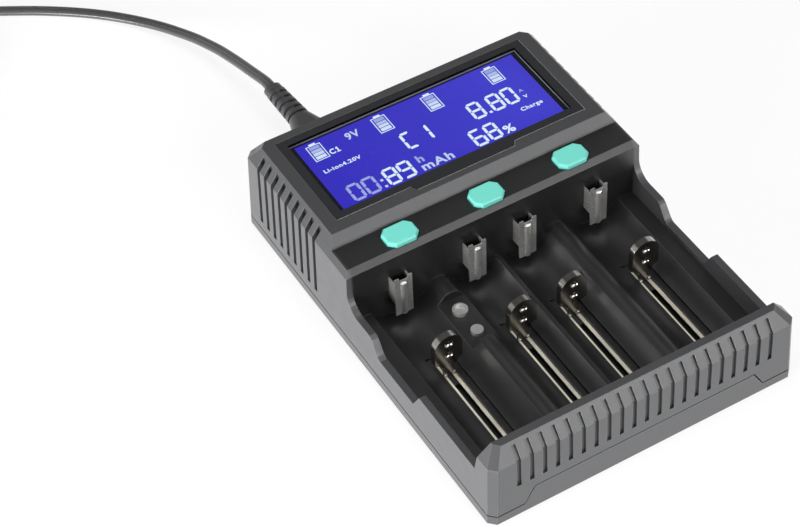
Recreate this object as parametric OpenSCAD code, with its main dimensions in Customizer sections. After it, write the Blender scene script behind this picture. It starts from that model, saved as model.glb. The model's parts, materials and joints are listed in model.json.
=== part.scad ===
// Four-bay charger for round cells of several sizes, with a display head and a mains lead.
// Modelled from the housing's lower front edge: X to the right, Y to the back, Z up.
// seat() then moves every piece so that the origin is under the middle of the housing, on the floor.

/* [Body] */
// Width of the housing at its base
body_w = 140; // [136:0.5:150]
// Depth of the housing at its base
body_d = 191.4; // [190:0.2:200]
// Thickness of the moulded walls
wall = 2.4; // [2:0.1:2.8]
// Inward lean of the outer walls for each millimetre of height
draft = 0.03; // [0.01:0.005:0.035]
// Size of the flat that cuts each upright corner
corner_cut = 2.8; // [2:0.1:4]
// Thickness of the floor of the lower housing
base_t = 2; // [1.8:0.1:2.2]
// Height of the seam between the two housings
seam_z = 4.4; // [4.2:0.1:4.6]
// Open gap along the seam
seam_gap = 0.25; // [0.1:0.05:0.35]

/* [Front wall] */
// Height of the front wall
front_h = 36.7; // [33:0.1:38]
// Height of the bevel along the top of the front wall
front_bevel_h = 6.2; // [4:0.1:7]
// How far that bevel runs back
front_bevel_run = 5.3; // [4:0.1:6]
// Depth of the flat on top of the front wall
front_ridge = 3.3; // [2.5:0.1:4]
// How far the inner face of the front wall leans back
front_lean = 3; // [2:0.1:3.5]
// Height at which that lean ends
front_lean_z = 21; // [19:0.5:25]
// Number of grooves in the front wall
groove_n = 21; // [11:2:21]
// Distance of the outermost grooves from the sides
groove_side = 12.9; // [12:0.1:20]
// Width of a groove
groove_w = 2; // [1.5:0.1:2.5]
// Depth of a groove
groove_deep = 1.1; // [0.8:0.1:2.4]
// Height at which the grooves start
groove_z = 16.4; // [14:0.2:20]
// Distance of the lower housing's raised front flap from the sides, along its top
flap_side = 20; // [18:0.5:30]
// Height of that flap
flap_h = 11.6; // [9:0.2:13]
// Open gap round the flap
flap_gap = 0.45; // [0.2:0.05:0.5]
// How far the flap's sides slant out
flap_slant = 4.7; // [2:0.1:6]

/* [Side walls] */
// Thickness of the bay's side walls at the base
side_t = 3.6; // [3.2:0.1:4]
// Height of the side walls
sill_h = 22.4; // [20:0.2:24]
// Height of the side walls at the finger cut-out
dip_h = 14.7; // [14:0.1:16]
// Where the cut-out starts
dip_y0 = 56.5; // [50:0.5:60]
// Where the cut-out ends
dip_y1 = 81.4; // [76:0.2:82]
// Run of the cut-out's steep front end
dip_step = 4.5; // [3:0.1:6]
// Run of the cut-out's soft rear end
dip_rise = 8.2; // [6:0.2:9]
// Radius where the side wall sweeps up to the head
sill_r = 8; // [6:0.2:9]

/* [Head] */
// Height of the head
head_h = 44.7; // [44:0.1:48]
// Height of the bevel round the head's top
head_bevel_h = 6.5; // [5:0.1:7]
// How far that bevel runs in
head_bevel_run = 4.6; // [3.5:0.1:5]
// Where the battery bays end and the head begins
bay_back = 106.7; // [105.6:0.1:107.8]
// How far the key panel lies below the top of the head
panel_drop = 4; // [3:0.1:5]
// Depth of the key panel
panel_d = 14.6; // [14.2:0.1:15.2]
// Bevel along the front edge of the key panel
panel_lip = 2.2; // [1.6:0.1:2.6]
// Thickness of the key panel
panel_t = 2.2; // [1.8:0.1:2.4]
// Run of the slope between the key panel and the display
slope_run = 3.9; // [3:0.1:4.6]
// Thickness of the head's top round the window
top_t = 2.5; // [2.2:0.1:2.8]
// Number of vents on each side of the head
vent_n = 9; // [5:1:9]
// Distance of the last vent from the back
vent_back = 13.1; // [12.6:0.1:18]
// Width of a vent
vent_w = 2.4; // [1.8:0.1:2.8]
// Distance of the first vent from the head's front
vent_front = 26; // [24:0.1:27]
// Height at which the vents start
vent_z = 8.8; // [8:0.2:14]
// Reach of the vents up the bevel, as a share of it
vent_share = 0.8; // [0.6:0.05:0.85]

/* [Display] */
// Distance of the window from the sides
window_side = 11.6; // [11:0.1:12.4]
// Distance of the window from the back
window_back = 9.7; // [9.2:0.1:10]
// Distance of the window's tab from the slope
window_front = 3.1; // [2.8:0.1:3.4]
// Thickness of the window
window_t = 1.2; // [0.8:0.1:1.5]
// Half width of the tab along the window's front edge
tab_half = 24.5; // [15:0.5:30]
// How far that tab reaches forward
tab_d = 2.7; // [1.5:0.1:2.9]
// Border between the window's edge and the lit area, at the sides
lcd_side = 6.2; // [5.6:0.1:8]
// Border between the window's edge and the lit area, at the front and back
lcd_edge = 4.7; // [4.5:0.1:6]
// How far back of the window's middle the lit area lies
lcd_shift = 0.7; // [0.4:0.1:0.9]
// Thickness of the display glass
lcd_t = 1.8; // [1.2:0.1:2.4]
// Thickness of the light plate under the display
light_t = 4; // [3:0.1:4.6]

/* [Keys] */
// Distance of the outer keys from the sides
key_side = 30; // [29:0.5:34]
// Width of a key
key_w = 14.3; // [12:0.1:15]
// Depth of a key
key_d = 10.5; // [9:0.1:10.7]
// Cut at each corner of a key
key_cut = 2.6; // [1.5:0.1:3.4]
// Height that a key stands above the panel
key_proud = 1.8; // [1.2:0.1:2.4]
// Travel of a key
key_travel = 0.9; // [0.5:0.1:1.1]
// Gap round a key
key_gap = 0.3; // [0.25:0.05:0.4]

/* [Battery bays] */
// Distance of the inner bays from the middle, as a share of the width
inner_share = 0.085; // [0.083:0.001:0.088]
// Distance of the outer bays from the middle, as a share of the width
outer_share = 0.33; // [0.325:0.001:0.335]
// Radius of the inner bays
inner_r = 13.5; // [13:0.1:13.8]
// Radius of the outer bays
outer_r = 17.6; // [17:0.1:18]
// Height of the bottom of the bays
trough_z = 7.2; // [7:0.1:7.6]
// Thickness of the bay floor at that height
trough_t = 1.8; // [1.6:0.1:1.9]
// Height of the shoulders beside the bays
shoulder_z = 12.8; // [12.4:0.1:13.2]
// How far the round ridges rise above the shoulders
ridge_rise = 3.6; // [3:0.1:4.2]
// Width of the slot for a sliding contact
slot_w = 5.6; // [5.2:0.1:6]
// Width of the shallow track round the slot
track_w = 10.6; // [9:0.1:12]
// Depth of that track
track_deep = 0.4; // [0.2:0.1:0.6]

/* [Contacts] */
// Where the fixed contacts meet a cell
cell_y = 101; // [100:0.2:102]
// Shortest cell that a bay holds
cell_min = 32; // [30:0.5:34]
// Travel of a sliding contact
slide_travel = 45; // [40:0.5:46]
// Width of a sliding contact
tongue_w = 12.5; // [11:0.1:13.5]
// Height of the top of a sliding contact
tongue_z = 28; // [26:0.2:29.5]
// Thickness of the sheet metal in the contacts
sheet_t = 0.8; // [0.6:0.05:0.9]
// Depth of the rim bent round a sliding contact
rim_deep = 2.2; // [1.6:0.1:2.8]
// Thickness of a rail
rail_t = 0.6; // [0.5:0.05:0.65]
// Gap between the two rails of a bay
rail_gap = 2.6; // [2.4:0.1:2.8]
// Width of a fixed contact
plus_w = 8; // [6:0.1:9]
// Clearance round parts that slide
slide_gap = 0.25; // [0.2:0.05:0.28]
// Where the seat for a block battery starts on the left ridge
block_y = 69.5; // [68:0.5:72]
// Depth of that seat
block_d = 27; // [26.6:0.1:27.4]
// Height of that seat
block_z = 11.8; // [11.5:0.1:12]
// Distance between the two block contacts
block_pitch = 12.7; // [12.5:0.1:13]

/* [Springs] */
// Outer diameter of a return spring
spring_d = 2.6; // [2.2:0.1:2.6]
// Wire diameter of a return spring
spring_wire = 0.5; // [0.4:0.05:0.55]
// Turns of a return spring
spring_turns = 16; // [10:1:18]

/* [Electronics] */
// Thickness of the circuit boards
board_t = 1.6; // [1.2:0.1:1.6]
// Height of the power board above the housing floor
power_stand = 3.6; // [3.5:0.1:4]
// Room above the transformer
transformer_gap = 1.2; // [0.6:0.1:4]
// How far the mains inlet's middle lies above the middle of that room
inlet_rise = 1.2; // [0:0.1:2]
// Distance of the mains inlet to the left of the middle, as a share of the width
inlet_share = 0.225; // [0.2:0.005:0.24]

/* [Feet and screws] */
// Height that the rubber feet stand proud
foot_proud = 1; // [0.6:0.1:1.4]
// Diameter of a rubber foot
foot_d = 10; // [8:0.5:11]
// Depth of the pocket that a foot sits in
foot_sunk = 0.8; // [0.5:0.1:1]
// Diameter of a housing screw's shank
screw_d = 2.8; // [2.5:0.1:3]

/* [Mains lead] */
// Width of the flat twin lead
lead_w = 5.2; // [4.8:0.1:5.4]
// Thickness of the flat twin lead
lead_t = 3.2; // [2.6:0.1:3.2]
// How far the connector's ribbed sleeve sags, in degrees
sleeve_sag = 4.5; // [0:0.5:6]

/* [Hidden] */
$fn = 48;
inner_x = inner_share * body_w;
outer_x = outer_share * body_w;
bay_x = [-outer_x, -inner_x, inner_x, outer_x];
bay_r = [outer_r, inner_r, inner_r, outer_r];
reach = body_w + body_d;
overlap = 0.5;

// Front wall and bay floor
groove_pitch = (body_w - 2 * groove_side) / (groove_n - 1);
flap_half = body_w / 2 - flap_side;
front_bevel_z = front_h - front_bevel_h;
ridge_y0 = draft * front_bevel_z + front_bevel_run;
ridge_y1 = ridge_y0 + front_ridge;
bay_front = ridge_y1 + front_lean;
under_z = trough_z - trough_t;
track_z = trough_z - track_deep;
bay_half = body_w / 2 - side_t;
trough_dip = shoulder_z - trough_z;
chord = function (r) sqrt(r * r - pow(r - trough_dip, 2));
ridge_in = inner_x + chord(inner_r);
ridge_out = outer_x - chord(outer_r);
ridge_x = (ridge_in + ridge_out) / 2;
ridge_half = (ridge_out - ridge_in) / 2;
ridge_lap = 0.12;
hump_r = (ridge_half * ridge_half + ridge_rise * ridge_rise) / (2 * ridge_rise) + ridge_lap;
hump_z = shoulder_z + ridge_rise - hump_r;
pocket_w = 2 * ridge_half - 4.6;
pocket_z = block_z - trough_t;
seat_w = 2 * ridge_half + 8;
track_end = 3;

// Head
head_bevel_z = head_h - head_bevel_h;
panel_h = head_h - panel_drop;
slope_y = bay_back + panel_d;
top_y = slope_y + slope_run;
panel_under = panel_h - panel_t;
top_under = head_h - top_t;
head_half = body_w / 2 - draft * head_bevel_z;
front_ease = 0.3 * corner_cut;
head_ease = 0.1 * corner_cut;
corner_drop = 0.2;
key_y = bay_back + (panel_d + 0.2) / 2;
vent_deep = draft * head_bevel_z + vent_share * head_bevel_run;
vent_y = bay_back + vent_front;
vent_pitch = (body_d - vent_back - vent_y) / (vent_n - 1);

// Display stack, from the window down
window_w = body_w - 2 * window_side;
window_y = top_y + window_front + tab_d;
window_d = body_d - window_back - window_y;
lcd_w = window_w - 2 * lcd_side;
lcd_d = window_d - 2 * lcd_edge;
lcd_y = window_y + window_d / 2 + lcd_shift;
view_side = 2;
view_edge = 0.55;
view_w = lcd_w + 2 * view_side;
view_d = lcd_d + 2 * view_edge;
glass_w = lcd_w + 6.4;
glass_d = lcd_d + 6.4;
holder_t = 2;
holder_gap = 0.3;
holder_w = glass_w + 2 * (holder_t + holder_gap);
holder_d = glass_d + 2 * (holder_t + holder_gap);
shelf = 2.2;
lcd_z = top_under - lcd_t;
light_z = lcd_z - light_t;

// Keys, switches and display board
key_pitch = body_w / 2 - key_side;
key_play = 0.2;
flange_t = 1;
flange_out = 1.2;
flange_z = panel_under - key_play - flange_t;
switch_w = 6;
switch_body = 3.4;
switch_h = 4.3;
stem_d = 3.5;
switch_rest = 0.1;
display_z = flange_z - key_travel - switch_rest - switch_h;
display_half = holder_w / 2 + 1;
display_y0 = bay_back + wall + 0.6;
display_y1 = lcd_y + holder_d / 2 + 1;
peg_d = 5;
peg_x = key_pitch + key_w / 2 + flange_out + peg_d / 2 + 3.5;
peg_y = [display_y0 + peg_d / 2 + 0.8, lcd_y - holder_d / 2 - peg_d / 2 - 0.8];
board_screw_d = 1.9;
board_head_d = 3.8;
board_head_h = 1.5;
screw_play = 0.05;

// Sliding contacts, rails and springs
slide_y = cell_y - cell_min;
rail_z = under_z - rail_t;
rail_reach = 2;
slot_y0 = slide_y - slide_travel - 5;
slot_y1 = slide_y + 6;
neck_half = slot_w / 2 - slide_gap;
tail_half = rail_gap / 2 - slide_gap;
neck_z = under_z + slide_gap;
shoe_z0 = base_t + slide_gap;
shoe_z1 = rail_z - slide_gap;
shoe_half = 4.6;
shoe_l = 12;
shoe_floor = 0.5;
ear_w = 3.2;
ear_l = 2.4;
spring_x = shoe_half + ear_w / 2 + 0.3;
spring_z = (base_t + under_z) / 2 - 0.2;
spring_y0 = slide_y + shoe_l / 2 + 0.15;
post_r = 0.9;
post_y = bay_back - 3;
spring_y1 = post_y - post_r - 0.15;
rail_y0 = slot_y0 - 2;
power_y0 = bay_back + wall + 4;
rail_y1 = power_y0 + 1.5;
rail_out = slot_w / 2 + rail_reach;
leg_t = 0.6;
leg_gap = 0.1;
leg_h = 11.5;
leg_z1 = display_z - board_t - 1.9;
leg_z0 = leg_z1 - leg_h;
plus_z = leg_z1 + 2.5;
plus_z0 = 10.5;
tail_l = 2.5;
stem_r = 1.1;
block_contact_y = [for (side = [-1, 1]) block_y + (block_d + side * block_pitch) / 2];

// Power board and the pieces on it
power_z = base_t + power_stand;
power_top = power_z + board_t;
power_half = body_w / 2 - 14;
power_y1 = body_d - 10.4;
headroom = display_z - board_t - power_top;
stand_d = 6;
stand_x = power_half - 6;
stand_y = [power_y0 + 5, power_y1 - 5];
core_at = [12, 150];
core_w = 28;
core_d = 12;
core_lift = 2;
transformer_h = headroom - core_lift - transformer_gap;
core_yoke = 4;
core_slot_x = 7.5;
core_slot_w = 6.4;
bobbin_w = 20;
bobbin_d = 22;
bobbin_gap = 0.2;
bulk_at = [-12, 140];
bulk_h = headroom - 5.2;
output_side = 24;
output_at = [power_half - output_side, 124];
output_pitch = 9;
sink_side = 18;
sink_at = [power_half - sink_side, power_y1 - 23];
sink_t = 2;
sink_h = headroom - 6.2;
sink_out = 8;
fin_t = 1.6;
fin_pitch = 4;
link_w = 24;
link_t = 0.9;

// Mains inlet and lead connector
inlet_w = 21;
inlet_h = 12;
inlet_l = 19;
socket_w = 13.8;
socket_h = 7.9;
socket_deep = 14;
pin_pitch = 8.6;
pin_r = 1.2;
pin_l = 11;
nose_gap = 0.3;
inlet_left = inlet_share * body_w;
inlet_z = power_top + headroom / 2 + inlet_rise;
inlet_y = body_d - draft * inlet_z;
grip_y = inlet_y + 0.2;
grip_w = 17;
grip_h = 9.4;
grip_l = 12;
taper_l = 10;
rib_w = 10;
rib_h = 7.4;
sleeve_y = grip_y + grip_l + taper_l;
sleeve_l = 24.8;

// Feet and screws
foot_x = body_w / 2 - 14;
foot_front = 26;
foot_back = 24;
foot_y = [foot_front, body_d - foot_back];
screw_x = [body_w / 2 - 12, body_w / 2 - 7];
screw_y = [bay_front / 2 + 0.8, body_d - 8.4];
screw_head_r = 2.5;
screw_head_h = 2;
screw_recess = 0.3;
screw_l = 12;
bore_l = 16;
base_vent_pitch = 8;
base_vent_l = 30;
base_vent_back = 62;
pillar_r = 4;
boss_r = 3.2;

// Route of the mains lead, in the part's own frame, from the connector to the coil
sleeve_dir = [0, cos(sleeve_sag), -sin(sleeve_sag)];
lead_exit = [-inlet_left, sleeve_y - body_d / 2, inlet_z + foot_proud] + sleeve_l * sleeve_dir;
lead_path = [
    lead_exit, lead_exit + 6 * sleeve_dir, [-32, 154, 17.4], [-32.8, 161, 16.1], [-33.5, 169, 14.4],
    [-34.5, 177, 12.8], [-35.6, 185, 11.1], [-37.4, 193, 9.5], [-39.6, 201.4, 7.8], [-42.8, 210, 6.2],
    [-46.6, 218.6, 4.8], [-51.4, 227, 3.7], [-57.2, 235.4, 2.8], [-64.1, 243.6, 2.2], [-71.8, 251.2, 1.8],
    [-80.2, 258.2, 1.6], [-89.4, 264.8, 1.6], [-99, 271, 1.6], [-108.6, 277, 1.6], [-118.2, 283, 1.8],
    [-124, 286.7, 2.1], [-129.6, 290.2, 2.5]
];
coil_x = -163;
coil_y = 265;
coil_r = 31;
coil_w = 21.8;
coil_h = 6.8;
tie_t = 0.8;
tie_from = -60;
tie_sweep = 16;

// Short end of the lead, from the coil to the plug
tail_path = [
    [-199.4, 244.2, 5.9], [-199.4, 238, 6.1], [-199.4, 232, 6.6], [-199.4, 226, 6.9], [-199.4, 220, 6.9]
];
plug_relief = 8;
plug_x = tail_path[4].x;
plug_y = tail_path[4].y - plug_relief;
plug_w = 35;
plug_t = 13.8;
plug_l = 36;
plug_side = 7;
plug_pin_r = 2;
plug_pin_l = 19;
plug_pitch = 18.6;

// Shared helpers

module seat() translate([0, -body_d / 2, foot_proud]) children();

// Everything outside the plane through a point with the given outward normal, moved in by inset
module beyond(point, normal, inset = 0)
    translate(point - inset * normal / norm(normal))
        rotate([0, acos(normal[2] / norm(normal)), atan2(normal[1], normal[0])])
            translate([-reach, -reach, 0]) cube([2 * reach, 2 * reach, reach]);

// A side-view outline, as [y, z] points, drawn across the body between two x places
module across(x0, x1) translate([x0, 0, 0]) rotate([90, 0, 90]) linear_extrude(x1 - x0) children();

// A front-view outline, as [x, z] points, drawn from one y place to another
module along(y0, y1) translate([0, y1, 0]) rotate([90, 0, 0]) linear_extrude(y1 - y0) children();

// A bar with half-round ends, lying along x and centred on a front-view point
module stadium(w, h) {
    square([w - h, h], center = true);
    for (side = [-1, 1]) translate([side * (w - h) / 2, 0]) circle(d = h);
}

function octagon(w, d, cut) = [
    for (turn = [[1, -1], [1, 1], [-1, 1], [-1, -1]], step = [0, 1])
        let (along_x = (turn[0] * turn[1] > 0) ? step : 1 - step)
            [turn[0] * (w / 2 - cut * along_x), turn[1] * (d / 2 - cut * (1 - along_x))]
];

// The drafted block of the housing between two heights, with its corners cut
module drafted_block(z0, z1, inset = 0) difference() {
    translate([-body_w / 2, 0, z0]) cube([body_w, body_d, z1 - z0]);
    for (side = [-1, 1]) {
        beyond([side * body_w / 2, 0, 0], [side, 0, draft], inset);
        beyond([side * (body_w / 2 - corner_cut), 0, 0], [side, -1, 2 * draft], inset);
        beyond([side * (body_w / 2 - corner_cut), body_d, 0], [side, 1, 2 * draft], inset);
    }
    beyond([0, 0, 0], [0, -1, draft], inset);
    beyond([0, body_d, 0], [0, 1, draft], inset);
}

// Upper housing

module front_wall() {
    front_half = body_w / 2 - draft * front_bevel_z;
    rise = front_bevel_h;
    run = front_bevel_run;
    difference() {
        across(-body_w / 2, body_w / 2) polygon([
            [0, seam_z], [0, front_h], [ridge_y1, front_h], [bay_front, front_lean_z], [bay_front, seam_z]
        ]);
        beyond([0, draft * front_bevel_z, front_bevel_z], [0, -rise, run]);
        for (side = [-1, 1]) {
            beyond([side * front_half, 0, front_bevel_z], [side * rise, 0, run]);
            beyond([side * (front_half - corner_cut), draft * front_bevel_z, front_bevel_z - corner_drop],
                [side * rise, -rise, 2 * run - front_ease]);
        }
    }
}

// Outline of a groove that follows an upright face and the bevel above it
module groove_outline(z0, bevel_z, rise, run, deep, share) {
    slant = norm([run, rise]);
    face = draft * bevel_z;
    top = [face + share * run, bevel_z + share * rise];
    inner = top + deep * [rise, -run] / slant;
    drop = (inner[0] - face - deep) / run * slant;
    knee = inner - drop * [run, rise] / slant;
    polygon([
        [-overlap, z0], [draft * z0 + deep, z0], knee, inner, top, top - deep * [rise, -run] / slant,
        [-overlap, bevel_z + overlap]
    ]);
}

module front_grooves() for (i = [0 : groove_n - 1]) {
    x = (i - (groove_n - 1) / 2) * groove_pitch;
    across(x - groove_w / 2, x + groove_w / 2)
        groove_outline(groove_z, front_bevel_z, front_bevel_h, front_bevel_run, groove_deep, vent_share);
}

// Side view of a side wall, from the front wall to the head, with its finger cut-out
module sill_outline() {
    steps = 8;
    dip_end = dip_y1 + dip_rise;
    soft_rise = [for (i = [1 : steps - 1])
        [dip_y1 + dip_rise * i / steps, dip_h + (sill_h - dip_h) * (1 - cos(180 * i / steps)) / 2]];
    sweep_up = [for (i = [0 : steps])
        [bay_back - sill_r + sill_r * sin(90 * i / steps), sill_h + sill_r * (1 - cos(90 * i / steps))]];
    polygon(concat(
        [[ridge_y0, seam_z], [ridge_y0, sill_h]],
        [[dip_y0 - dip_step, sill_h], [dip_y0, dip_h], [dip_y1, dip_h]],
        soft_rise, [[dip_end, sill_h]], sweep_up,
        [[bay_back + wall, sill_h + sill_r], [bay_back + wall, seam_z]]
    ));
}

// Front view of the bay floor: shoulders and round ridges with four troughs
module bay_outline() difference() {
    union() {
        translate([-bay_half - overlap, under_z])
            square([2 * (bay_half + overlap), shoulder_z - under_z]);
        for (side = [-1, 1]) intersection() {
            translate([side * ridge_x, hump_z]) circle(r = hump_r);
            translate([side * ridge_x, shoulder_z + ridge_rise / 2 - 1])
                square([2 * ridge_half + 4, ridge_rise + 2], center = true);
        }
    }
    for (i = [0 : 3]) translate([bay_x[i], trough_z + bay_r[i]]) circle(r = bay_r[i], $fn = 96);
}

module bay_floor() difference() {
    along(bay_front - overlap, bay_back + overlap) bay_outline();
    for (x = bay_x) {
        translate([x - track_w / 2, slot_y0 - track_end, track_z])
            cube([track_w, slot_y1 - slot_y0 + 2 * track_end, shoulder_z]);
        translate([x - slot_w / 2, slot_y0, 0]) cube([slot_w, slot_y1 - slot_y0, shoulder_z]);
    }
    for (side = [-1, 1])
        translate([side * ridge_x - pocket_w / 2, bay_front + wall, 0])
            cube([pocket_w, bay_back - bay_front - wall, pocket_z]);
    translate([-ridge_x - seat_w / 2, block_y, block_z]) cube([seat_w, block_d, shoulder_z]);
}

module head_outer() difference() {
    across(-body_w / 2, body_w / 2) polygon([
        [bay_back, seam_z], [bay_back, panel_h - panel_lip], [bay_back + panel_lip, panel_h],
        [slope_y, panel_h], [top_y, head_h], [body_d, head_h], [body_d, seam_z]
    ]);
    head_bevels();
}

module head_bevels(inset = 0) {
    back_y = body_d - draft * head_bevel_z;
    beyond([0, back_y, head_bevel_z], [0, head_bevel_h, head_bevel_run], inset);
    for (side = [-1, 1]) {
        beyond([side * head_half, 0, head_bevel_z], [side * head_bevel_h, 0, head_bevel_run], inset);
        beyond([side * (head_half - corner_cut), back_y, head_bevel_z - corner_drop],
            [side * head_bevel_h, head_bevel_h, 2 * head_bevel_run - head_ease], inset);
    }
}

module head_cavity() {
    inner_y = bay_back + wall;
    difference() {
        intersection() {
            drafted_block(0, top_under, wall);
            across(-body_w / 2, body_w / 2) polygon([
                [inner_y, 0], [inner_y, panel_under], [slope_y + wall / 2, panel_under],
                [top_y + wall / 2, top_under], [body_d, top_under], [body_d, 0]
            ]);
        }
        head_bevels(wall);
        for (side = [-1, 1], y = peg_y)
            translate([side * peg_x, y, display_z]) cylinder(d = peg_d, h = head_h);
        for (side = [-1, 1])
            translate([side * screw_x[1], screw_y[1], seam_z]) cylinder(r = boss_r, h = head_h);
    }
}

// Upright slots through the side walls and the bevels above them
module head_vents() for (side = [0, 1], i = [0 : vent_n - 1])
    mirror([side, 0, 0]) translate([-body_w / 2 - overlap, vent_y + i * vent_pitch - vent_w / 2, vent_z])
        cube([vent_deep + overlap, vent_w, head_h - vent_z]);

module window_outline(grow = 0) {
    tab_cut = 1.7;
    polygon([
        [-window_w / 2 - grow, window_y + window_d + grow], [-window_w / 2 - grow, window_y - grow],
        [-tab_half - grow, window_y - grow], [-tab_half + tab_cut - grow, window_y - tab_d - grow],
        [tab_half - tab_cut + grow, window_y - tab_d - grow], [tab_half + grow, window_y - grow],
        [window_w / 2 + grow, window_y - grow], [window_w / 2 + grow, window_y + window_d + grow]
    ]);
}

module window_opening() {
    window_gap = 0.15;
    translate([0, 0, head_h - window_t]) linear_extrude(window_t + overlap) window_outline(window_gap);
    translate([-view_w / 2, lcd_y - view_d / 2, top_under - overlap]) cube([view_w, view_d, top_t + overlap]);
}

module key_openings() for (i = [-1 : 1]) translate([i * key_pitch, key_y, 0]) {
    translate([0, 0, panel_under - overlap]) linear_extrude(panel_t + 2 * overlap)
        polygon(octagon(key_w + 2 * key_gap, key_d + 2 * key_gap, key_cut));
    translate([0, 0, flange_z - key_travel - key_play]) linear_extrude(flange_t + key_travel + 2 * key_play)
        polygon(octagon(key_w + 2 * (flange_out + key_gap), key_d + 2 * key_gap, key_cut));
}

// Openings in the bay's back wall for the legs of the fixed contacts and for the rails
module contact_slots() for (x = bay_x) {
    for (side = [-1, 1])
        translate([x + (side * (plus_w - leg_t) - leg_t) / 2 - leg_gap, bay_back - overlap, leg_z0 - leg_gap])
            cube([leg_t + 2 * leg_gap, wall + 2 * overlap, leg_h + 2 * leg_gap]);
    translate([x - rail_out - leg_gap, bay_back - overlap, 0])
        cube([2 * (rail_out + leg_gap), wall + 2 * overlap, under_z]);
}

module flap_outline(grow = 0) polygon([
    [-flap_half - flap_slant - grow, seam_z - overlap], [-flap_half - grow, flap_h + grow],
    [flap_half + grow, flap_h + grow], [flap_half + flap_slant + grow, seam_z - overlap]
]);

module upper_housing() color("dimgray") seat() difference() {
    intersection() {
        drafted_block(seam_z, head_h);
        union() {
            front_wall();
            bay_floor();
            head_outer();
            for (side = [0, 1]) mirror([side, 0, 0]) across(bay_half, body_w / 2) sill_outline();
        }
    }
    head_cavity();
    front_grooves();
    head_vents();
    window_opening();
    key_openings();
    contact_slots();
    along(-overlap, wall + seam_gap) flap_outline(flap_gap);
    translate([-inlet_left, 0, inlet_z]) along(body_d - 2 * wall, body_d + overlap)
        stadium(inlet_w + 0.2, inlet_h + 0.2);
    for (side = [-1, 1]) {
        for (i = [0, 1]) translate([side * screw_x[i], screw_y[i], 0])
            cylinder(d = screw_d + 2 * screw_play, h = bore_l);
        for (y = peg_y) translate([side * peg_x, y, 0])
            cylinder(d = board_screw_d + 2 * screw_play, h = display_z + 5);
    }
    for (y = block_contact_y)
        translate([-ridge_x, y, under_z]) cylinder(r = stem_r + leg_gap, h = shoulder_z);
}

// Lower housing

module lower_housing() color("dimgray") seat() {
    rim = seam_z - seam_gap;
    difference() {
        union() {
            difference() {
                drafted_block(0, rim);
                drafted_block(base_t, seam_z + overlap, wall);
            }
            intersection() {
                drafted_block(base_t, flap_h);
                along(-overlap, wall) flap_outline();
            }
            for (side = [-1, 1], i = [0, 1]) translate([side * screw_x[i], screw_y[i], 0])
                cylinder(r = pillar_r, h = rim);
            for (side = [-1, 1], y = stand_y)
                translate([side * stand_x, y, 0]) cylinder(d = stand_d, h = power_z);
            for (x = bay_x)
                translate([x + spring_x, post_y, 0]) cylinder(r = post_r, h = under_z - slide_gap);
        }
        for (side = [-1, 1], i = [0, 1]) translate([side * screw_x[i], screw_y[i], -overlap]) {
            cylinder(d = screw_d + 4 * screw_play, h = seam_z + 2 * overlap);
            cylinder(r = screw_head_r + 0.2, h = screw_head_h + screw_recess + overlap);
        }
        for (side = [-1, 1], y = stand_y) translate([side * stand_x, y, base_t])
            cylinder(d = board_screw_d + 2 * screw_play, h = power_z);
        for (side = [-1, 1], y = foot_y) translate([side * foot_x, y, -overlap])
            cylinder(d = foot_d + 0.2, h = foot_sunk + overlap);
        for (i = [-4 : 4]) translate([i * base_vent_pitch - vent_w / 2, body_d - base_vent_back, -overlap])
            cube([vent_w, base_vent_l, base_t + 2 * overlap]);
    }
}

module rubber_feet() color("black") seat() for (side = [-1, 1], y = foot_y)
    translate([side * foot_x, y, -foot_proud]) cylinder(d = foot_d, h = foot_proud + foot_sunk);

module housing_screws() color("silver") seat() for (side = [-1, 1], i = [0, 1])
    translate([side * screw_x[i], screw_y[i], 0]) {
        cross_l = 3;
        cross_w = 0.6;
        cross_deep = 1;
        translate([0, 0, screw_recess]) difference() {
            cylinder(r = screw_head_r, h = screw_head_h);
            for (turn = [0, 90]) rotate(turn) translate([-cross_l / 2, -cross_w / 2, -overlap])
                cube([cross_l, cross_w, cross_deep + overlap]);
        }
        translate([0, 0, screw_head_h]) cylinder(d = screw_d, h = screw_l);
    }

// Display

module display_window() color([0.05, 0.05, 0.08, 0.6]) seat()
    translate([0, 0, head_h - window_t]) linear_extrude(window_t) window_outline();

module lcd_frame() color("silver") seat() translate([0, lcd_y, 0]) {
    difference() {
        translate([-holder_w / 2, -holder_d / 2, display_z])
            cube([holder_w, holder_d, top_under - display_z]);
        translate([-holder_w / 2 + holder_t, -holder_d / 2 + holder_t, light_z])
            cube([holder_w - 2 * holder_t, holder_d - 2 * holder_t, top_t + lcd_t + light_t]);
        translate([-holder_w / 2 + holder_t + shelf, -holder_d / 2 + holder_t + shelf, display_z - overlap])
            cube([holder_w - 2 * (holder_t + shelf), holder_d - 2 * (holder_t + shelf), head_h]);
    }
}

module lcd_panel() color("blue") seat()
    translate([-glass_w / 2, lcd_y - glass_d / 2, lcd_z]) cube([glass_w, glass_d, lcd_t]);

module lcd_backlight() color("white") seat()
    translate([-glass_w / 2, lcd_y - glass_d / 2, light_z]) cube([glass_w, glass_d, light_t]);

module display_board() color("darkgreen") seat() difference() {
    translate([-display_half, display_y0, display_z - board_t])
        cube([2 * display_half, display_y1 - display_y0, board_t]);
    for (side = [-1, 1], y = peg_y) translate([side * peg_x, y, 0])
        cylinder(d = board_screw_d + 2 * screw_play, h = head_h);
}

module board_screws() color("silver") seat() for (side = [-1, 1], y = peg_y) translate([side * peg_x, y, 0]) {
    translate([0, 0, display_z - board_t - board_head_h]) cylinder(d = board_head_d, h = board_head_h);
    translate([0, 0, display_z - board_t]) cylinder(d = board_screw_d, h = board_t + 4);
}

// Keys

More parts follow.
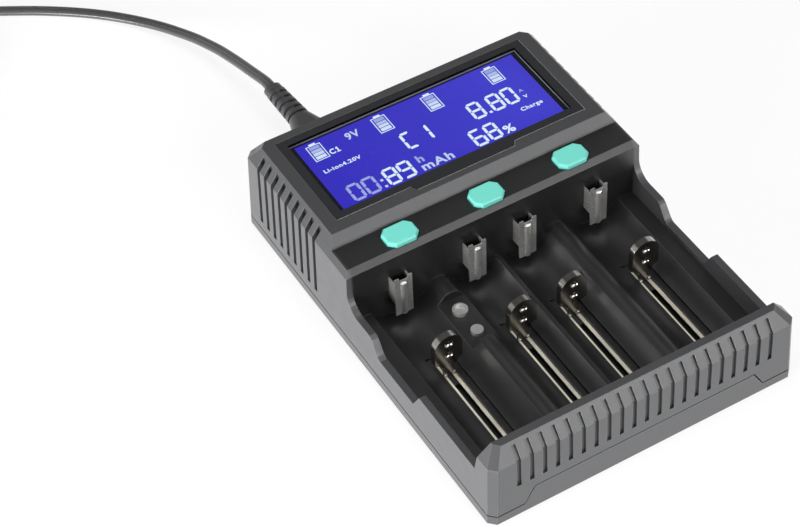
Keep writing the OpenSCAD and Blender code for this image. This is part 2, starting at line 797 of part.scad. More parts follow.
module key(i) color("turquoise") seat() translate([i * key_pitch, key_y, 0]) {
    top = panel_h + key_proud;
    soft = 0.6;
    corner_tilt = 1.4;
    difference() {
        translate([0, 0, flange_z + flange_t / 2]) linear_extrude(top - flange_z - flange_t / 2)
            polygon(octagon(key_w, key_d, key_cut));
        for (side = [-1, 1]) {
            beyond([side * key_w / 2, 0, top - soft], [side, 0, 1]);
            beyond([0, side * key_d / 2, top - soft], [0, side, 1]);
            for (end = [-1, 1])
                beyond([side * (key_w / 2 - key_cut), end * key_d / 2, top - soft], [side, end, corner_tilt]);
        }
    }
    translate([0, 0, flange_z]) linear_extrude(flange_t)
        polygon(octagon(key_w + 2 * flange_out, key_d, key_cut));
}

module key_left() key(-1);
module key_middle() key(0);
module key_right() key(1);

module key_switches() color("black") seat() for (i = [-1 : 1]) translate([i * key_pitch, key_y, display_z]) {
    translate([-switch_w / 2, -switch_w / 2, 0]) cube([switch_w, switch_w, switch_body]);
    cylinder(d = stem_d, h = switch_h);
}

// Power electronics

module power_board() color("darkgreen") seat() difference() {
    translate([-power_half, power_y0, power_z]) cube([2 * power_half, power_y1 - power_y0, board_t]);
    for (side = [-1, 1], y = stand_y) translate([side * stand_x, y, 0])
        cylinder(d = board_screw_d + 2 * screw_play, h = head_h);
}

module power_board_screws() color("silver") seat() for (side = [-1, 1], y = stand_y)
    translate([side * stand_x, y, 0]) {
        translate([0, 0, power_top]) cylinder(d = board_head_d, h = board_head_h);
        translate([0, 0, base_t + 0.4]) cylinder(d = board_screw_d, h = power_top - base_t);
    }

module transformer_core() color("dimgray") seat() translate([core_at.x, core_at.y, power_top]) difference() {
    translate([-core_w / 2, -core_d / 2, core_lift]) cube([core_w, core_d, transformer_h]);
    for (side = [-1, 1]) translate([side * core_slot_x - core_slot_w / 2, -core_d, core_lift + core_yoke])
        cube([core_slot_w, 2 * core_d, transformer_h - 2 * core_yoke]);
}

module transformer_bobbin() color("goldenrod") seat() translate([core_at.x, core_at.y, power_top]) {
    winding_w = core_slot_w - 2 * bobbin_gap;
    winding_h = transformer_h - 2 * core_yoke - 2 * bobbin_gap;
    cheek = bobbin_d / 2 - core_d / 2 - bobbin_gap;
    for (side = [-1, 1]) {
        translate([side * core_slot_x - winding_w / 2, -bobbin_d / 2, core_lift + core_yoke + bobbin_gap])
            cube([winding_w, bobbin_d, winding_h]);
        translate([-bobbin_w / 2, side * (bobbin_d - cheek) / 2 - cheek / 2, 0])
            cube([bobbin_w, cheek, transformer_h]);
    }
}

module capacitor(d, h) {
    crown = 0.5;
    cylinder(d = d, h = h);
    translate([0, 0, h]) cylinder(d = 0.78 * d, h = crown);
}

module bulk_capacitor() color("midnightblue") seat() translate([bulk_at.x, bulk_at.y, power_top])
    capacitor(14, bulk_h);

module output_capacitors() color("midnightblue") seat() for (i = [-1 : 1])
    translate([output_at.x + i * output_pitch, output_at.y, power_top]) capacitor(8, 12);

module heat_sink() color("silver") seat() translate([sink_at.x, sink_at.y, power_top]) {
    fins = 5;
    cube([sink_t, (fins - 1) * fin_pitch + fin_t, sink_h]);
    for (i = [0 : fins - 1]) translate([0, i * fin_pitch, 0]) cube([sink_out, fin_t, sink_h]);
}

module board_link() color("ivory") seat() translate([-link_w / 2, power_y0 + 1.2, power_top])
    cube([link_w, link_t, headroom]);

// Mains inlet

module mains_inlet() color("black") seat() translate([-inlet_left, 0, inlet_z]) difference() {
    along(inlet_y - inlet_l, inlet_y - 0.1) stadium(inlet_w, inlet_h);
    along(inlet_y - socket_deep, inlet_y + overlap) stadium(socket_w, socket_h);
    for (side = [-1, 1]) translate([side * pin_pitch / 2, inlet_y, 0]) rotate([90, 0, 0])
        cylinder(r = pin_r, h = inlet_l + overlap);
}

module inlet_pins() color("silver") seat() translate([-inlet_left, 0, inlet_z]) for (side = [-1, 1])
    translate([side * pin_pitch / 2, inlet_y - socket_deep + pin_l, 0]) {
        rotate([90, 0, 0]) cylinder(r = pin_r, h = pin_l - socket_deep + inlet_l + 1.6);
        translate([-pin_r / 2, -(pin_l - socket_deep + inlet_l + 1.6), power_top - inlet_z])
            cube([pin_r, 0.8, inlet_z - power_top]);
    }

// Fixed contacts: a folded bracket with a pressed rib, its two legs held in the bay's back wall

module positive_contact(i) color("silver") seat() translate([bay_x[i - 1], 0, 0]) {
    rib_r = 1.6;
    ear = 1.6;
    translate([-plus_w / 2, cell_y + rib_r / 2, plus_z0]) cube([plus_w, leg_t, plus_z - plus_z0 - ear]);
    translate([0, cell_y + rib_r, plus_z0]) intersection() {
        cylinder(r = rib_r, h = plus_z - plus_z0 - 2 * ear);
        translate([-rib_r, -rib_r, 0]) cube([2 * rib_r, rib_r, plus_z]);
    }
    for (side = [-1, 1]) {
        translate([side * (plus_w - leg_t) / 2 - leg_t / 2, cell_y + rib_r / 2, leg_z0])
            cube([leg_t, bay_back + wall + tail_l - cell_y - rib_r / 2, leg_h]);
        translate([side * (plus_w - 2) / 2 - 1, cell_y + rib_r / 2, plus_z - ear - overlap])
            cube([2, leg_t, ear + overlap]);
    }
}

module positive_contact_1() positive_contact(1);
module positive_contact_2() positive_contact(2);
module positive_contact_3() positive_contact(3);
module positive_contact_4() positive_contact(4);

// Sliding contacts: a stamped tongue with a bent rim, two pressed bumps and a foot between the rails

module tongue_outline(inset = 0) {
    r = tongue_w / 2;
    waist_r = 5;
    waist_z = 9;
    difference() {
        union() {
            translate([0, tongue_z - r]) circle(r = r - inset);
            translate([-r + inset, neck_z]) square([tongue_w - 2 * inset, tongue_z - r - neck_z]);
        }
        for (side = [-1, 1]) {
            translate([side * (neck_half + waist_r), waist_z]) circle(r = waist_r);
            translate([side * (neck_half + waist_r), 0]) square([2 * waist_r, 2 * waist_z], center = true);
        }
    }
}

module slider_contact(i) color("silver") seat() translate([bay_x[i - 1], slide_y, 0]) {
    bump_r = 2;
    bump_sink = 0.9;
    bumps = [tongue_z - 4.4, tongue_z - 10.6];
    rim_end = 14;
    toe_r = 0.6;
    toe_w = 1.2;
    difference() {
        union() {
            along(-sheet_t, 0) tongue_outline();
            difference() {
                along(-overlap, rim_deep) tongue_outline();
                along(-2 * overlap, rim_deep + overlap) tongue_outline(sheet_t);
                translate([-tongue_w, -tongue_w, 0]) cube([2 * tongue_w, 2 * tongue_w, rim_end]);
            }
            for (z = bumps) translate([0, -bump_sink, z]) sphere(r = bump_r);
        }
        for (z = bumps) translate([0, -bump_sink - sheet_t, z]) sphere(r = bump_r);
        translate([-tongue_w, -sheet_t - 2 * bump_r, 0]) cube([2 * tongue_w, 2 * bump_r, tongue_z]);
    }
    translate([-tail_half, -sheet_t, shoe_z0 + shoe_floor])
        cube([2 * tail_half, sheet_t, neck_z + overlap - shoe_z0 - shoe_floor]);
    for (side = [-1, 1]) translate([side * (neck_half - toe_w / 2), -sheet_t, neck_z + toe_r])
        rotate([0, 90, 0]) cylinder(r = toe_r, h = toe_w, center = true);
}

module slider_contact_1() slider_contact(1);
module slider_contact_2() slider_contact(2);
module slider_contact_3() slider_contact(3);
module slider_contact_4() slider_contact(4);

module slider_shoe(i) color("ivory") seat() translate([bay_x[i - 1], slide_y, shoe_z0]) difference() {
    union() {
        translate([-shoe_half, -shoe_l / 2, 0]) cube([2 * shoe_half, shoe_l, shoe_z1 - shoe_z0]);
        translate([shoe_half - overlap, shoe_l / 2 - ear_l, 0])
            cube([ear_w + overlap, ear_l, shoe_z1 - shoe_z0]);
    }
    translate([-tail_half - screw_play, -sheet_t - screw_play, shoe_floor])
        cube([2 * (tail_half + screw_play), sheet_t + 2 * screw_play, shoe_z1]);
}

module slider_shoe_1() slider_shoe(1);
module slider_shoe_2() slider_shoe(2);
module slider_shoe_3() slider_shoe(3);
module slider_shoe_4() slider_shoe(4);

module contact_rails(i) color("silver") seat() for (side = [0, 1])
    translate([bay_x[i - 1], 0, rail_z]) mirror([side, 0, 0])
        translate([rail_gap / 2, rail_y0, 0])
            cube([rail_out - rail_gap / 2, rail_y1 - rail_y0, rail_t]);

module contact_rails_1() contact_rails(1);
module contact_rails_2() contact_rails(2);
module contact_rails_3() contact_rails(3);
module contact_rails_4() contact_rails(4);

// Triangles of a swept skin with closed ends, for rings of points listed one after another
function skin(rings, sides) = concat(
    [for (i = [0 : rings - 2], k = [0 : sides - 1], half = [0, 1]) let (q = i * sides, next = (k + 1) % sides)
        half == 0 ? [q + k, q + sides + k, q + sides + next] : [q + k, q + sides + next, q + next]],
    [[for (k = [0 : sides - 1]) k], [for (k = [sides - 1 : -1 : 0]) (rings - 1) * sides + k]]
);

// Wire swept round a helix that lies along Y
module helix(r, wire_r, y0, y1, turns) {
    per_turn = 8;
    sides = 5;
    n = turns * per_turn;
    pitch = (y1 - y0 - 2 * wire_r) / turns;
    points = [for (i = [0 : n], k = [0 : sides - 1])
        let (a = 360 * i / per_turn, b = -360 * k / sides, out = r + wire_r * cos(b))
            [out * cos(a), y0 + wire_r + pitch * i / per_turn + wire_r * sin(b), out * sin(a)]];
    polyhedron(points, skin(n + 1, sides), convexity = 6);
}

module return_spring(i) color("silver") seat() translate([bay_x[i - 1] + spring_x, 0, spring_z])
    helix((spring_d - spring_wire) / 2, spring_wire / 2, spring_y0, spring_y1, spring_turns);

module return_spring_1() return_spring(1);
module return_spring_2() return_spring(2);
module return_spring_3() return_spring(3);
module return_spring_4() return_spring(4);

// Block contacts: a stud and a ring, each on a stem through the seat
module block_contacts() color("silver") seat() {
    stud_r = 2.6;
    ring_r = 3.2;
    contact_h = 1.6;
    web = 0.5;
    for (i = [0, 1]) translate([-ridge_x, block_contact_y[i], 0]) {
        translate([0, 0, block_z]) difference() {
            cylinder(r = i == 0 ? stud_r : ring_r, h = contact_h);
            if (i == 1) translate([0, 0, web]) cylinder(r = ring_r - sheet_t, h = contact_h);
        }
        translate([0, 0, under_z + 1]) cylinder(r = stem_r, h = block_z - under_z - 1 + web);
    }
}

// Mains lead: connector with its ribbed relief, the lead, its stored coil, the tie and the plug

module cord_connector() color("black") seat() translate([-inlet_left, 0, inlet_z]) {
    taper_y = grip_y + grip_l;
    difference() {
        along(inlet_y - socket_deep + 1.2, grip_y + overlap)
            stadium(socket_w - 2 * nose_gap, socket_h - 2 * nose_gap);
        for (side = [-1, 1]) translate([side * pin_pitch / 2, inlet_y - 1, 0]) rotate([90, 0, 0])
            cylinder(r = pin_r + nose_gap, h = socket_deep);
    }
    along(grip_y, taper_y) stadium(grip_w, grip_h);
    hull() {
        along(taper_y - overlap, taper_y) stadium(grip_w, grip_h);
        along(sleeve_y, sleeve_y + overlap) stadium(rib_w, rib_h);
    }
    translate([0, sleeve_y, 0]) rotate([-sleeve_sag, 0, 0]) ribbed_sleeve();
}

// Bend relief of the connector: ribs on a thin core, with a spine above and below
module ribbed_sleeve() {
    rib_n = 5;
    rib_pitch = 4.3;
    rib_l = 2.3;
    rib_y = 1.7;
    rib_fall = 0.3;
    cuff_l = 3;
    spine_w = 1.3;
    along(-overlap, sleeve_l) stadium(lead_w + 1.2, lead_t + 1);
    along(-overlap, sleeve_l - overlap) square([spine_w, rib_h - 1.8], center = true);
    for (i = [0 : rib_n - 1]) along(rib_y + i * rib_pitch, rib_y + i * rib_pitch + rib_l)
        stadium(rib_w - rib_fall * i, rib_h - rib_fall * i);
    along(sleeve_l - cuff_l, sleeve_l) stadium(lead_w + 3, lead_t + 2.4);
}

function path_dir(path, i) = let (
    a = path[max(i - 1, 0)], b = path[min(i + 1, len(path) - 1)], d = b - a) d / norm(d);

// A flat tube along a path, its wide side level
module flat_tube(path, w, t) {
    sides = 8;
    rings = [for (i = [0 : len(path) - 1]) let (
        d = path_dir(path, i), level = cross(d, [0, 0, 1]), u = level / norm(level), v = cross(u, d))
        for (k = [0 : sides - 1]) let (a = 360 * (k + 0.5) / sides)
            path[i] + u * w / 2 * cos(a) + v * t / 2 * sin(a)];
    polyhedron(rings, skin(len(path), sides), convexity = 4);
}

module cord_lead() color("black") flat_tube(lead_path, lead_w, lead_t);

module cord_tail() color("black") flat_tube(tail_path, lead_w, lead_t);

module cord_coil() color("black") translate([coil_x, coil_y, tie_t]) rotate_extrude($fn = 96)
    translate([coil_r - coil_w / 2, 0]) square([coil_w, coil_h]);

// A strap round the coil, on the side away from the plug
module cord_tie() color("black") translate([coil_x, coil_y, 0]) rotate(tie_from)
    rotate_extrude(angle = tie_sweep, $fn = 96) difference() {
        translate([coil_r - coil_w / 2 - tie_t - screw_play, 0])
            square([coil_w + 2 * (tie_t + screw_play), coil_h + 2 * tie_t]);
        translate([coil_r - coil_w / 2 - screw_play, tie_t]) square([coil_w + 2 * screw_play, coil_h]);
    }

module plug_body() color("black") translate([plug_x, plug_y, plug_t / 2]) {
    along(-plug_l, 0) hull() {
        stadium(plug_w - plug_side, plug_t);
        stadium(plug_w, plug_t - plug_side);
    }
    along(-overlap, plug_relief) stadium(lead_w + 3.4, lead_t + 2.8);
}

module plug_pins() color("silver") translate([plug_x, plug_y - plug_l, plug_t / 2]) for (side = [-1, 1])
    translate([side * plug_pitch / 2, 0, 0]) rotate([90, 0, 0]) cylinder(r = plug_pin_r, h = plug_pin_l);

upper_housing();
lower_housing();
display_window();
lcd_frame();
lcd_panel();
lcd_backlight();
display_board();
key_left();
key_middle();
key_right();
key_switches();
board_screws();
power_board();
power_board_screws();
transformer_core();
transformer_bobbin();
bulk_capacitor();
output_capacitors();
heat_sink();
board_link();
mains_inlet();
inlet_pins();
positive_contact_1();
positive_contact_2();
positive_contact_3();
positive_contact_4();
slider_contact_1();
slider_contact_2();
slider_contact_3();
slider_contact_4();
slider_shoe_1();
slider_shoe_2();
slider_shoe_3();
slider_shoe_4();
return_spring_1();
return_spring_2();
return_spring_3();
return_spring_4();
contact_rails_1();
contact_rails_2();
contact_rails_3();
contact_rails_4();
block_contacts();
rubber_feet();
housing_screws();
cord_connector();
cord_lead();
cord_coil();
cord_tail();
cord_tie();
plug_body();
plug_pins();
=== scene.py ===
"""Looks of a four-bay cell charger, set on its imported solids: finishes, lit display, mains lead."""
import json
import math

import bmesh
import bpy
import numpy as np
from mathutils import Matrix, Vector


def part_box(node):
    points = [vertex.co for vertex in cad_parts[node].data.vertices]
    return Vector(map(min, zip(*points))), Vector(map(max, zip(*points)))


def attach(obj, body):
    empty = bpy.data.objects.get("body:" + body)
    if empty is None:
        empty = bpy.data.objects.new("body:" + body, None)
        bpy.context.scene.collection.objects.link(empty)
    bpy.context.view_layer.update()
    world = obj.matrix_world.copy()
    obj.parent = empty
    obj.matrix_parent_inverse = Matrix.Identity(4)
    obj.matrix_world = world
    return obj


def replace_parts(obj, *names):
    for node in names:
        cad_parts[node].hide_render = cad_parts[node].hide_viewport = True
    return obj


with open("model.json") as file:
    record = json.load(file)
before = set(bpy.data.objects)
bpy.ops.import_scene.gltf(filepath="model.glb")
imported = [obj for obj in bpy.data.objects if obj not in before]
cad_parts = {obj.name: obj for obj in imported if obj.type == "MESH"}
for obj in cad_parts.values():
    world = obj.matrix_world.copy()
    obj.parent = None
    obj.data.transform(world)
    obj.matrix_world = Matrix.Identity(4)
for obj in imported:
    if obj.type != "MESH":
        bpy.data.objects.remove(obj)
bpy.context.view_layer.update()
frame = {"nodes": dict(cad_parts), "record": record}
nodes = frame["nodes"]
MM = 0.001
# Lengths along the housing are drawn from its front edge, as in the part's source
FRONT_EDGE_Y = -95.7
BODY = "charger"


def mm(*numbers):
    """A point given in millimetres, in metres."""
    return Vector(n * MM for n in numbers)


def band(low, high):
    """The ends of a span given in millimetres, in metres."""
    return low * MM, high * MM


def srgb(red, green, blue):
    """A linear colour from 0 to 255 display values."""
    shares = (c / 255 for c in (red, green, blue))
    return tuple(c / 12.92 if c < 0.04045 else ((c + 0.055) / 1.055) ** 2.4 for c in shares)


def tinted(colour, factor):
    """A colour made darker or lighter."""
    return tuple(c * factor for c in colour)


def placed(name, data):
    """A new object in the scene."""
    obj = bpy.data.objects.new(name, data)
    bpy.context.scene.collection.objects.link(obj)
    return obj


# Camera

CAMERA_AZIMUTH, CAMERA_ELEVATION, CAMERA_ROLL = -28.461, 47.079, -3.123
CAMERA_TARGET = mm(-39.152, 21.256, 21.0)
CAMERA_DISTANCE = 963.352 * MM
CAMERA_LENS, SENSOR_WIDTH, NEAREST_SEEN = 108.335, 36.0, 0.05


def photo_camera():
    """The camera that fits the housing's edges in the photograph."""
    azimuth, elevation, roll = map(math.radians, (CAMERA_AZIMUTH, CAMERA_ELEVATION, CAMERA_ROLL))
    back = Vector((math.sin(azimuth) * math.cos(elevation),
                   -math.cos(azimuth) * math.cos(elevation), math.sin(elevation)))
    level = Vector((math.cos(azimuth), math.sin(azimuth), 0))
    upright = back.cross(level)
    right = math.cos(roll) * level + math.sin(roll) * upright
    up = math.cos(roll) * upright - math.sin(roll) * level
    data = bpy.data.cameras.new("photo_camera")
    data.lens, data.sensor_width, data.clip_start = CAMERA_LENS, SENSOR_WIDTH, NEAREST_SEEN
    camera = placed("photo_camera", data)
    turn = Matrix((right, up, back)).transposed().to_4x4()
    camera.matrix_world = Matrix.Translation(CAMERA_TARGET + back * CAMERA_DISTANCE) @ turn
    bpy.context.scene.camera = camera


photo_camera()


# Node trees written as expressions

# Sockets of a Mix node that mixes colours
MIX_SHARE, MIX_FIRST, MIX_SECOND, MIX_RESULT = 0, 6, 7, 2
EDGE_SAMPLES = 4
# How far a rounded normal turns from its face where an edge begins and where it is full
EDGE_TURN = (0.01, 0.12)
DULL_BLACK = (0.012, 0.012, 0.012, 1)
PLAIN_WHITE = (1, 1, 1, 1)


class Value:
    """An output socket with arithmetic: each expression adds a Math node to its tree."""

    def __init__(self, graph, socket):
        self.graph, self.socket = graph, socket

    def __add__(self, other):
        return self.graph.math("ADD", self, other)

    def __sub__(self, other):
        return self.graph.math("SUBTRACT", self, other)

    def __rsub__(self, other):
        return self.graph.math("SUBTRACT", other, self)

    def __mul__(self, other):
        return self.graph.math("MULTIPLY", self, other)

    def __truediv__(self, other):
        return self.graph.math("DIVIDE", self, other)

    def __pow__(self, other):
        return self.graph.math("POWER", self, other)

    def __abs__(self):
        return self.graph.math("ABSOLUTE", self)

    __radd__, __rmul__ = __add__, __mul__

    def larger(self, other):
        return self.graph.math("MAXIMUM", self, other)

    def ramp(self, low, high):
        """0 below low, 1 above high, and smooth between."""
        return self.graph.add("ShaderNodeMapRange", {"interpolation_type": "SMOOTHSTEP"},
                              {0: self, 1: low, 2: high})


class Graph:
    """Adds nodes to one tree: a finish, the world or a Geometry Nodes group."""

    def __init__(self, tree):
        self.tree = tree
        tree.nodes.clear()

    def add(self, kind, settings=None, inputs=None, out=0):
        """A node with its settings and the values or links of its sockets; returns one output."""
        node = self.tree.nodes.new(kind)
        for name, value in (settings or {}).items():
            setattr(node, name, value)
        for key, value in (inputs or {}).items():
            if isinstance(value, Value):
                self.tree.links.new(value.socket, node.inputs[key])
            else:
                node.inputs[key].default_value = value
        return Value(self, node.outputs[out]) if len(node.outputs) else node

    def math(self, operation, *values):
        """A Math node on values or numbers."""
        return self.add("ShaderNodeMath", {"operation": operation}, dict(enumerate(values)))

    def place(self):
        """Object coordinates, in metres."""
        return self.add("ShaderNodeTexCoord", out="Object")

    def split(self, vector):
        """The X, Y and Z of a vector."""
        first = self.add("ShaderNodeSeparateXYZ", None, {0: vector})
        return [Value(self, socket) for socket in first.socket.node.outputs]

    def stretched(self, x, y, z):
        """Object coordinates scaled along each axis, for marks that run one way."""
        return self.add("ShaderNodeMapping", None, {"Vector": self.place(), "Scale": (x, y, z)})

    def noise(self, scale, detail=2.0, where=None):
        """Noise about 0.5, on Object coordinates or another vector."""
        return self.add("ShaderNodeTexNoise", None,
                        {"Vector": where or self.place(), "Scale": scale, "Detail": detail})

    def mortar(self, scale, width):
        """1 along the lines of a brick pattern."""
        return self.add("ShaderNodeTexBrick", {"offset": 0.5},
                        {"Vector": self.place(), "Scale": scale, "Mortar Size": width}, out="Fac")

    def mix(self, share, first, second):
        """A colour between two others."""
        ends = [c if isinstance(c, Value) else (*c, 1) for c in (first, second)]
        return self.add("ShaderNodeMix", {"data_type": "RGBA"},
                        {MIX_SHARE: share, MIX_FIRST: ends[0], MIX_SECOND: ends[1]}, out=MIX_RESULT)

    def bump(self, height, distance, strength=1.0, base=None):
        """A normal with that relief, on top of another normal where one is given."""
        inputs = {"Strength": strength, "Distance": distance, "Height": height}
        if base:
            inputs["Normal"] = base
        return self.add("ShaderNodeBump", None, inputs)

    def rounded(self, radius):
        """The normal of a face whose edges are rounded."""
        return self.add("ShaderNodeBevel", {"samples": EDGE_SAMPLES}, {"Radius": radius})

    def facing(self, normal, other):
        """How far two directions agree."""
        return self.add("ShaderNodeVectorMath", {"operation": "DOT_PRODUCT"},
                        {0: normal, 1: other}, out="Value")

    def on_edge(self, rounded):
        """1 where a rounded normal leaves its face."""
        flat = self.add("ShaderNodeNewGeometry", out="True Normal")
        return (1 - self.facing(rounded, flat)).ramp(*EDGE_TURN)

    def opening(self, reach):
        """1 on an open face, less where other faces stand within reach."""
        return self.add("ShaderNodeAmbientOcclusion", {"samples": EDGE_SAMPLES},
                        {"Distance": reach}, out="AO")

    def principled(self, inputs, dark=None):
        """Ends the tree in one shader, which a mask may turn to dull black."""
        shader = self.add("ShaderNodeBsdfPrincipled", None, inputs)
        if dark:
            black = self.add("ShaderNodeBsdfDiffuse", None, {"Color": DULL_BLACK})
            shader = self.add("ShaderNodeMixShader", None, {0: dark, 1: shader, 2: black})
        self.add("ShaderNodeOutputMaterial", None, {"Surface": shader})


def finish(name):
    """A new material and the graph that fills it."""
    material = bpy.data.materials.new(name)
    material.use_nodes = True
    return material, Graph(material.node_tree)


# Noise on plastic: slow clouds, rub marks, and specks at a share of the grain's scale
CLOUD_SCALE, RUB_SCALE, SPECK_SHARE = 38, 210, 0.55
# Share of the clouds in the colour's blotches, and how far rub marks and clouds change the gloss
CLOUD_TINT, RUB_GLOSS, CLOUD_GLOSS = 0.6, 0.1, 0.06
GRAIN_STRENGTH = 0.9
# Reach within which other faces make a place narrow, how open the places that get painted shade are,
# and how open the edges that turn pale, as wear and as a painted highlight, are
CREVICE = 2.6 * MM
NARROW, WORN_HIGHLIGHT_OPEN = (0.1, 0.6), (0.8, 1.0)
CREVICE_SHADE, WORN_HIGHLIGHT_PALE = 0.15, (0.3, 0.3, 0.31)
# Drawn lines and tarnish on metal
LINE_SCALE, LINE_GLOSS, LINE_RELIEF, LINE_STRENGTH = 900, 0.16, 0.004 * MM, 0.6
TARNISH_SCALE, TARNISH_GLOSS, TARNISH_SPREAD = 120, 0.1, (0.3, 0.75)


def moulded(name, colour, roughness, grain=2600, relief=0.014, edge=0.0, blotch=0.1, inside=None,
            worn_highlight=0.0, seam=None):
    """Moulded plastic or rubber: faint blotches in colour and gloss, an eroded grain, edges a
    little soft. A second colour may be given with the mask of the faces that have it. Given a share
    of pale edges, edges turn pale, as wear and as a painted highlight, and narrow places get painted
    shade. The line of a seam is painted black, as the shade in its gap."""
    material, g = finish(name)
    cloud = g.noise(CLOUD_SCALE, 3)
    speck = g.noise(grain * SPECK_SHARE, 2)
    shade = cloud * CLOUD_TINT + speck * (1 - CLOUD_TINT)
    rub = g.noise(RUB_SCALE, 4)

    def blotched(tint):
        return g.mix(shade, tinted(tint, 1 - blotch), tinted(tint, 1 + blotch))

    face = blotched(colour)
    if inside:
        mask, second = inside
        face = g.mix(mask(g), face, blotched(second))
    rounded = g.rounded(edge) if edge else None
    # Edges turn pale, as wear and as a painted highlight; narrow places, where shade falls, are
    # painted dark
    if worn_highlight:
        opening = g.opening(CREVICE)
        face = g.mix(g.on_edge(rounded) * opening.ramp(*WORN_HIGHLIGHT_OPEN) * worn_highlight, face, WORN_HIGHLIGHT_PALE)
        face = g.mix(opening.ramp(*NARROW), tinted(colour, CREVICE_SHADE), face)
    g.principled({
        "Base Color": face,
        "Roughness": roughness + (rub - 0.5) * RUB_GLOSS + (cloud - 0.5) * CLOUD_GLOSS,
        "Normal": g.bump(g.noise(grain, 3), relief * MM, GRAIN_STRENGTH, rounded),
    }, seam(g) if seam else None)
    return material


def plated(name, colour, roughness, run=(1, 1, 1), tarnish=0.18, metal=1.0):
    """Plated or drawn metal: fine lines along one way, small changes in tint and gloss."""
    material, g = finish(name)
    line = g.noise(LINE_SCALE, 3, g.stretched(*run))
    cloud = g.noise(TARNISH_SCALE, 3)
    g.principled({
        "Base Color": g.mix(cloud.ramp(*TARNISH_SPREAD), colour, tinted(colour, 1 - tarnish)),
        "Metallic": metal,
        "Roughness": roughness + (line - 0.5) * LINE_GLOSS + (cloud - 0.5) * TARNISH_GLOSS,
        "Normal": g.bump(line, LINE_RELIEF, LINE_STRENGTH),
    })
    return material


# The mains lead

LEAD_WIDTH, LEAD_THICKNESS, LEAD_WAIST = 5.2, 3.1, 0.55
LEAD_OUT = [
    (-31.5, 142.02, 19.05), (-31.5, 148.0, 18.58), (-32, 154, 17.4), (-32.8, 161, 16.1),
    (-33.5, 169, 14.4), (-34.5, 177, 12.8), (-35.6, 185, 11.1), (-37.4, 193, 9.5),
    (-39.6, 201.4, 7.8), (-42.8, 210, 6.2), (-46.6, 218.6, 4.8), (-51.4, 227, 3.7),
    (-57.2, 235.4, 2.8), (-64.1, 243.6, 2.2), (-71.8, 251.2, 1.8), (-80.2, 258.2, 1.6),
    (-89.4, 264.8, 1.6), (-99, 271, 1.6), (-108.6, 277, 1.6), (-118.2, 283, 1.8),
    (-124, 286.7, 2.1), (-129.6, 290.2, 2.5)]
COIL_MIDDLE, COIL_START, COIL_TURNS, TURN_STEPS = (-163, 265), 58, 6.339, 36
# Radius of each turn, the lower layer from the outside in, the upper one back out
COIL_RADII = [
    (0, 39.1), (0.75, 39.1), (1, 33.7), (1.75, 33.7), (2, 28.3), (2.75, 28.3), (3, 22.9),
    (3.75, 22.9), (4, 25.6), (4.75, 25.6), (5, 31), (5.75, 31), (6, 36.4), (COIL_TURNS, 36.4)]
COIL_HEIGHTS = [(0, 2.5), (3.45, 2.5), (3.75, 5.9), (COIL_TURNS, 5.9)]
LEAD_TAIL = [
    (-199.4, 258, 5.9), (-199.4, 251, 5.9), (-199.4, 244.2, 5.9), (-199.4, 238, 6.1),
    (-199.4, 232, 6.6), (-199.4, 226, 6.9), (-199.4, 220, 6.9)]
STRAP_WIDTH, STRAP_THICKNESS, STRAP_ANGLE = 9.0, 1.0, math.radians(-52)
# The strap's way round the bundle: distance from the coil's middle, and height
STRAP_LOOP = [
    (28, 8), (33.5, 8), (36.2, 7), (40.8, 4.7), (42.3, 3), (42.2, 1.3), (41, 0.55), (31, 0.52),
    (21.2, 0.55), (19.9, 1.3), (19.8, 3.4), (20.8, 6.4), (22.9, 7.9), (28, 8)]
# Spacing of the points along the lead and the strap, steps from one drawn point to the next
LEAD_SPACING, STRAP_SPACING, CURVE_STEPS = 3.0 * MM, 0.8 * MM, 12
SECTION_POINTS = 40
# Where across the section, from its middle to its edge, the waist's web gives way to the round edge
WEB_END = (0.9, 1.0)
WEAVE_SCALE, WEAVE_GAP, WEAVE_RELIEF = 900.0, 0.12, 0.08 * MM


def eased(stops, at):
    """A value that holds and shifts smoothly between the given stops."""
    places, values = zip(*stops)
    i = min(max(int(np.searchsorted(places, at)), 1), len(places) - 1)
    share = (at - places[i - 1]) / (places[i] - places[i - 1])
    share = min(max(share, 0), 1)
    return values[i - 1] + (values[i] - values[i - 1]) * share * share * (3 - 2 * share)


def lead_route():
    """The lead's middle line, from its connector over the floor and round the coil to its plug."""
    route = list(LEAD_OUT)
    for turn in np.linspace(0, COIL_TURNS, round(COIL_TURNS * TURN_STEPS) + 1):
        angle = math.radians(COIL_START) + turn * math.tau
        radius = eased(COIL_RADII, turn)
        route.append((COIL_MIDDLE[0] + radius * math.cos(angle),
                      COIL_MIDDLE[1] + radius * math.sin(angle), eased(COIL_HEIGHTS, turn)))
    return [mm(*p) for p in route + LEAD_TAIL]


def smoothed(points, spacing):
    """Points every so often along a curve through the given ones."""
    p = np.array([points[0], *points, points[-1]], float)
    dense = []
    for a, b, c, d in zip(p, p[1:], p[2:], p[3:]):
        for t in np.linspace(0, 1, CURVE_STEPS, endpoint=False):
            dense.append(0.5 * (2 * b + (c - a) * t + (2 * a - 5 * b + 4 * c - d) * t * t
                                + (3 * b - a - 3 * c + d) * t ** 3))
    dense = np.array(dense + [p[-1]])
    along = np.concatenate([[0], np.cumsum(np.linalg.norm(np.diff(dense, axis=0), axis=1))])
    even = np.linspace(0, along[-1], round(along[-1] / spacing) + 1)
    return np.stack([np.interp(even, along, dense[:, k]) for k in range(3)], axis=1)


def line_mesh(name, points, closed=False):
    """A mesh of edges through the points."""
    count = len(points)
    edges = [(i, (i + 1) % count) for i in range(count if closed else count - 1)]
    mesh = bpy.data.meshes.new(name)
    mesh.from_pydata([tuple(p) for p in points], edges, [])
    return mesh


def evaluated_mesh(obj):
    """The plain mesh that an object's text or modifiers make."""
    bpy.context.view_layer.update()
    ready = obj.evaluated_get(bpy.context.evaluated_depsgraph_get())
    return bpy.data.meshes.new_from_object(ready)


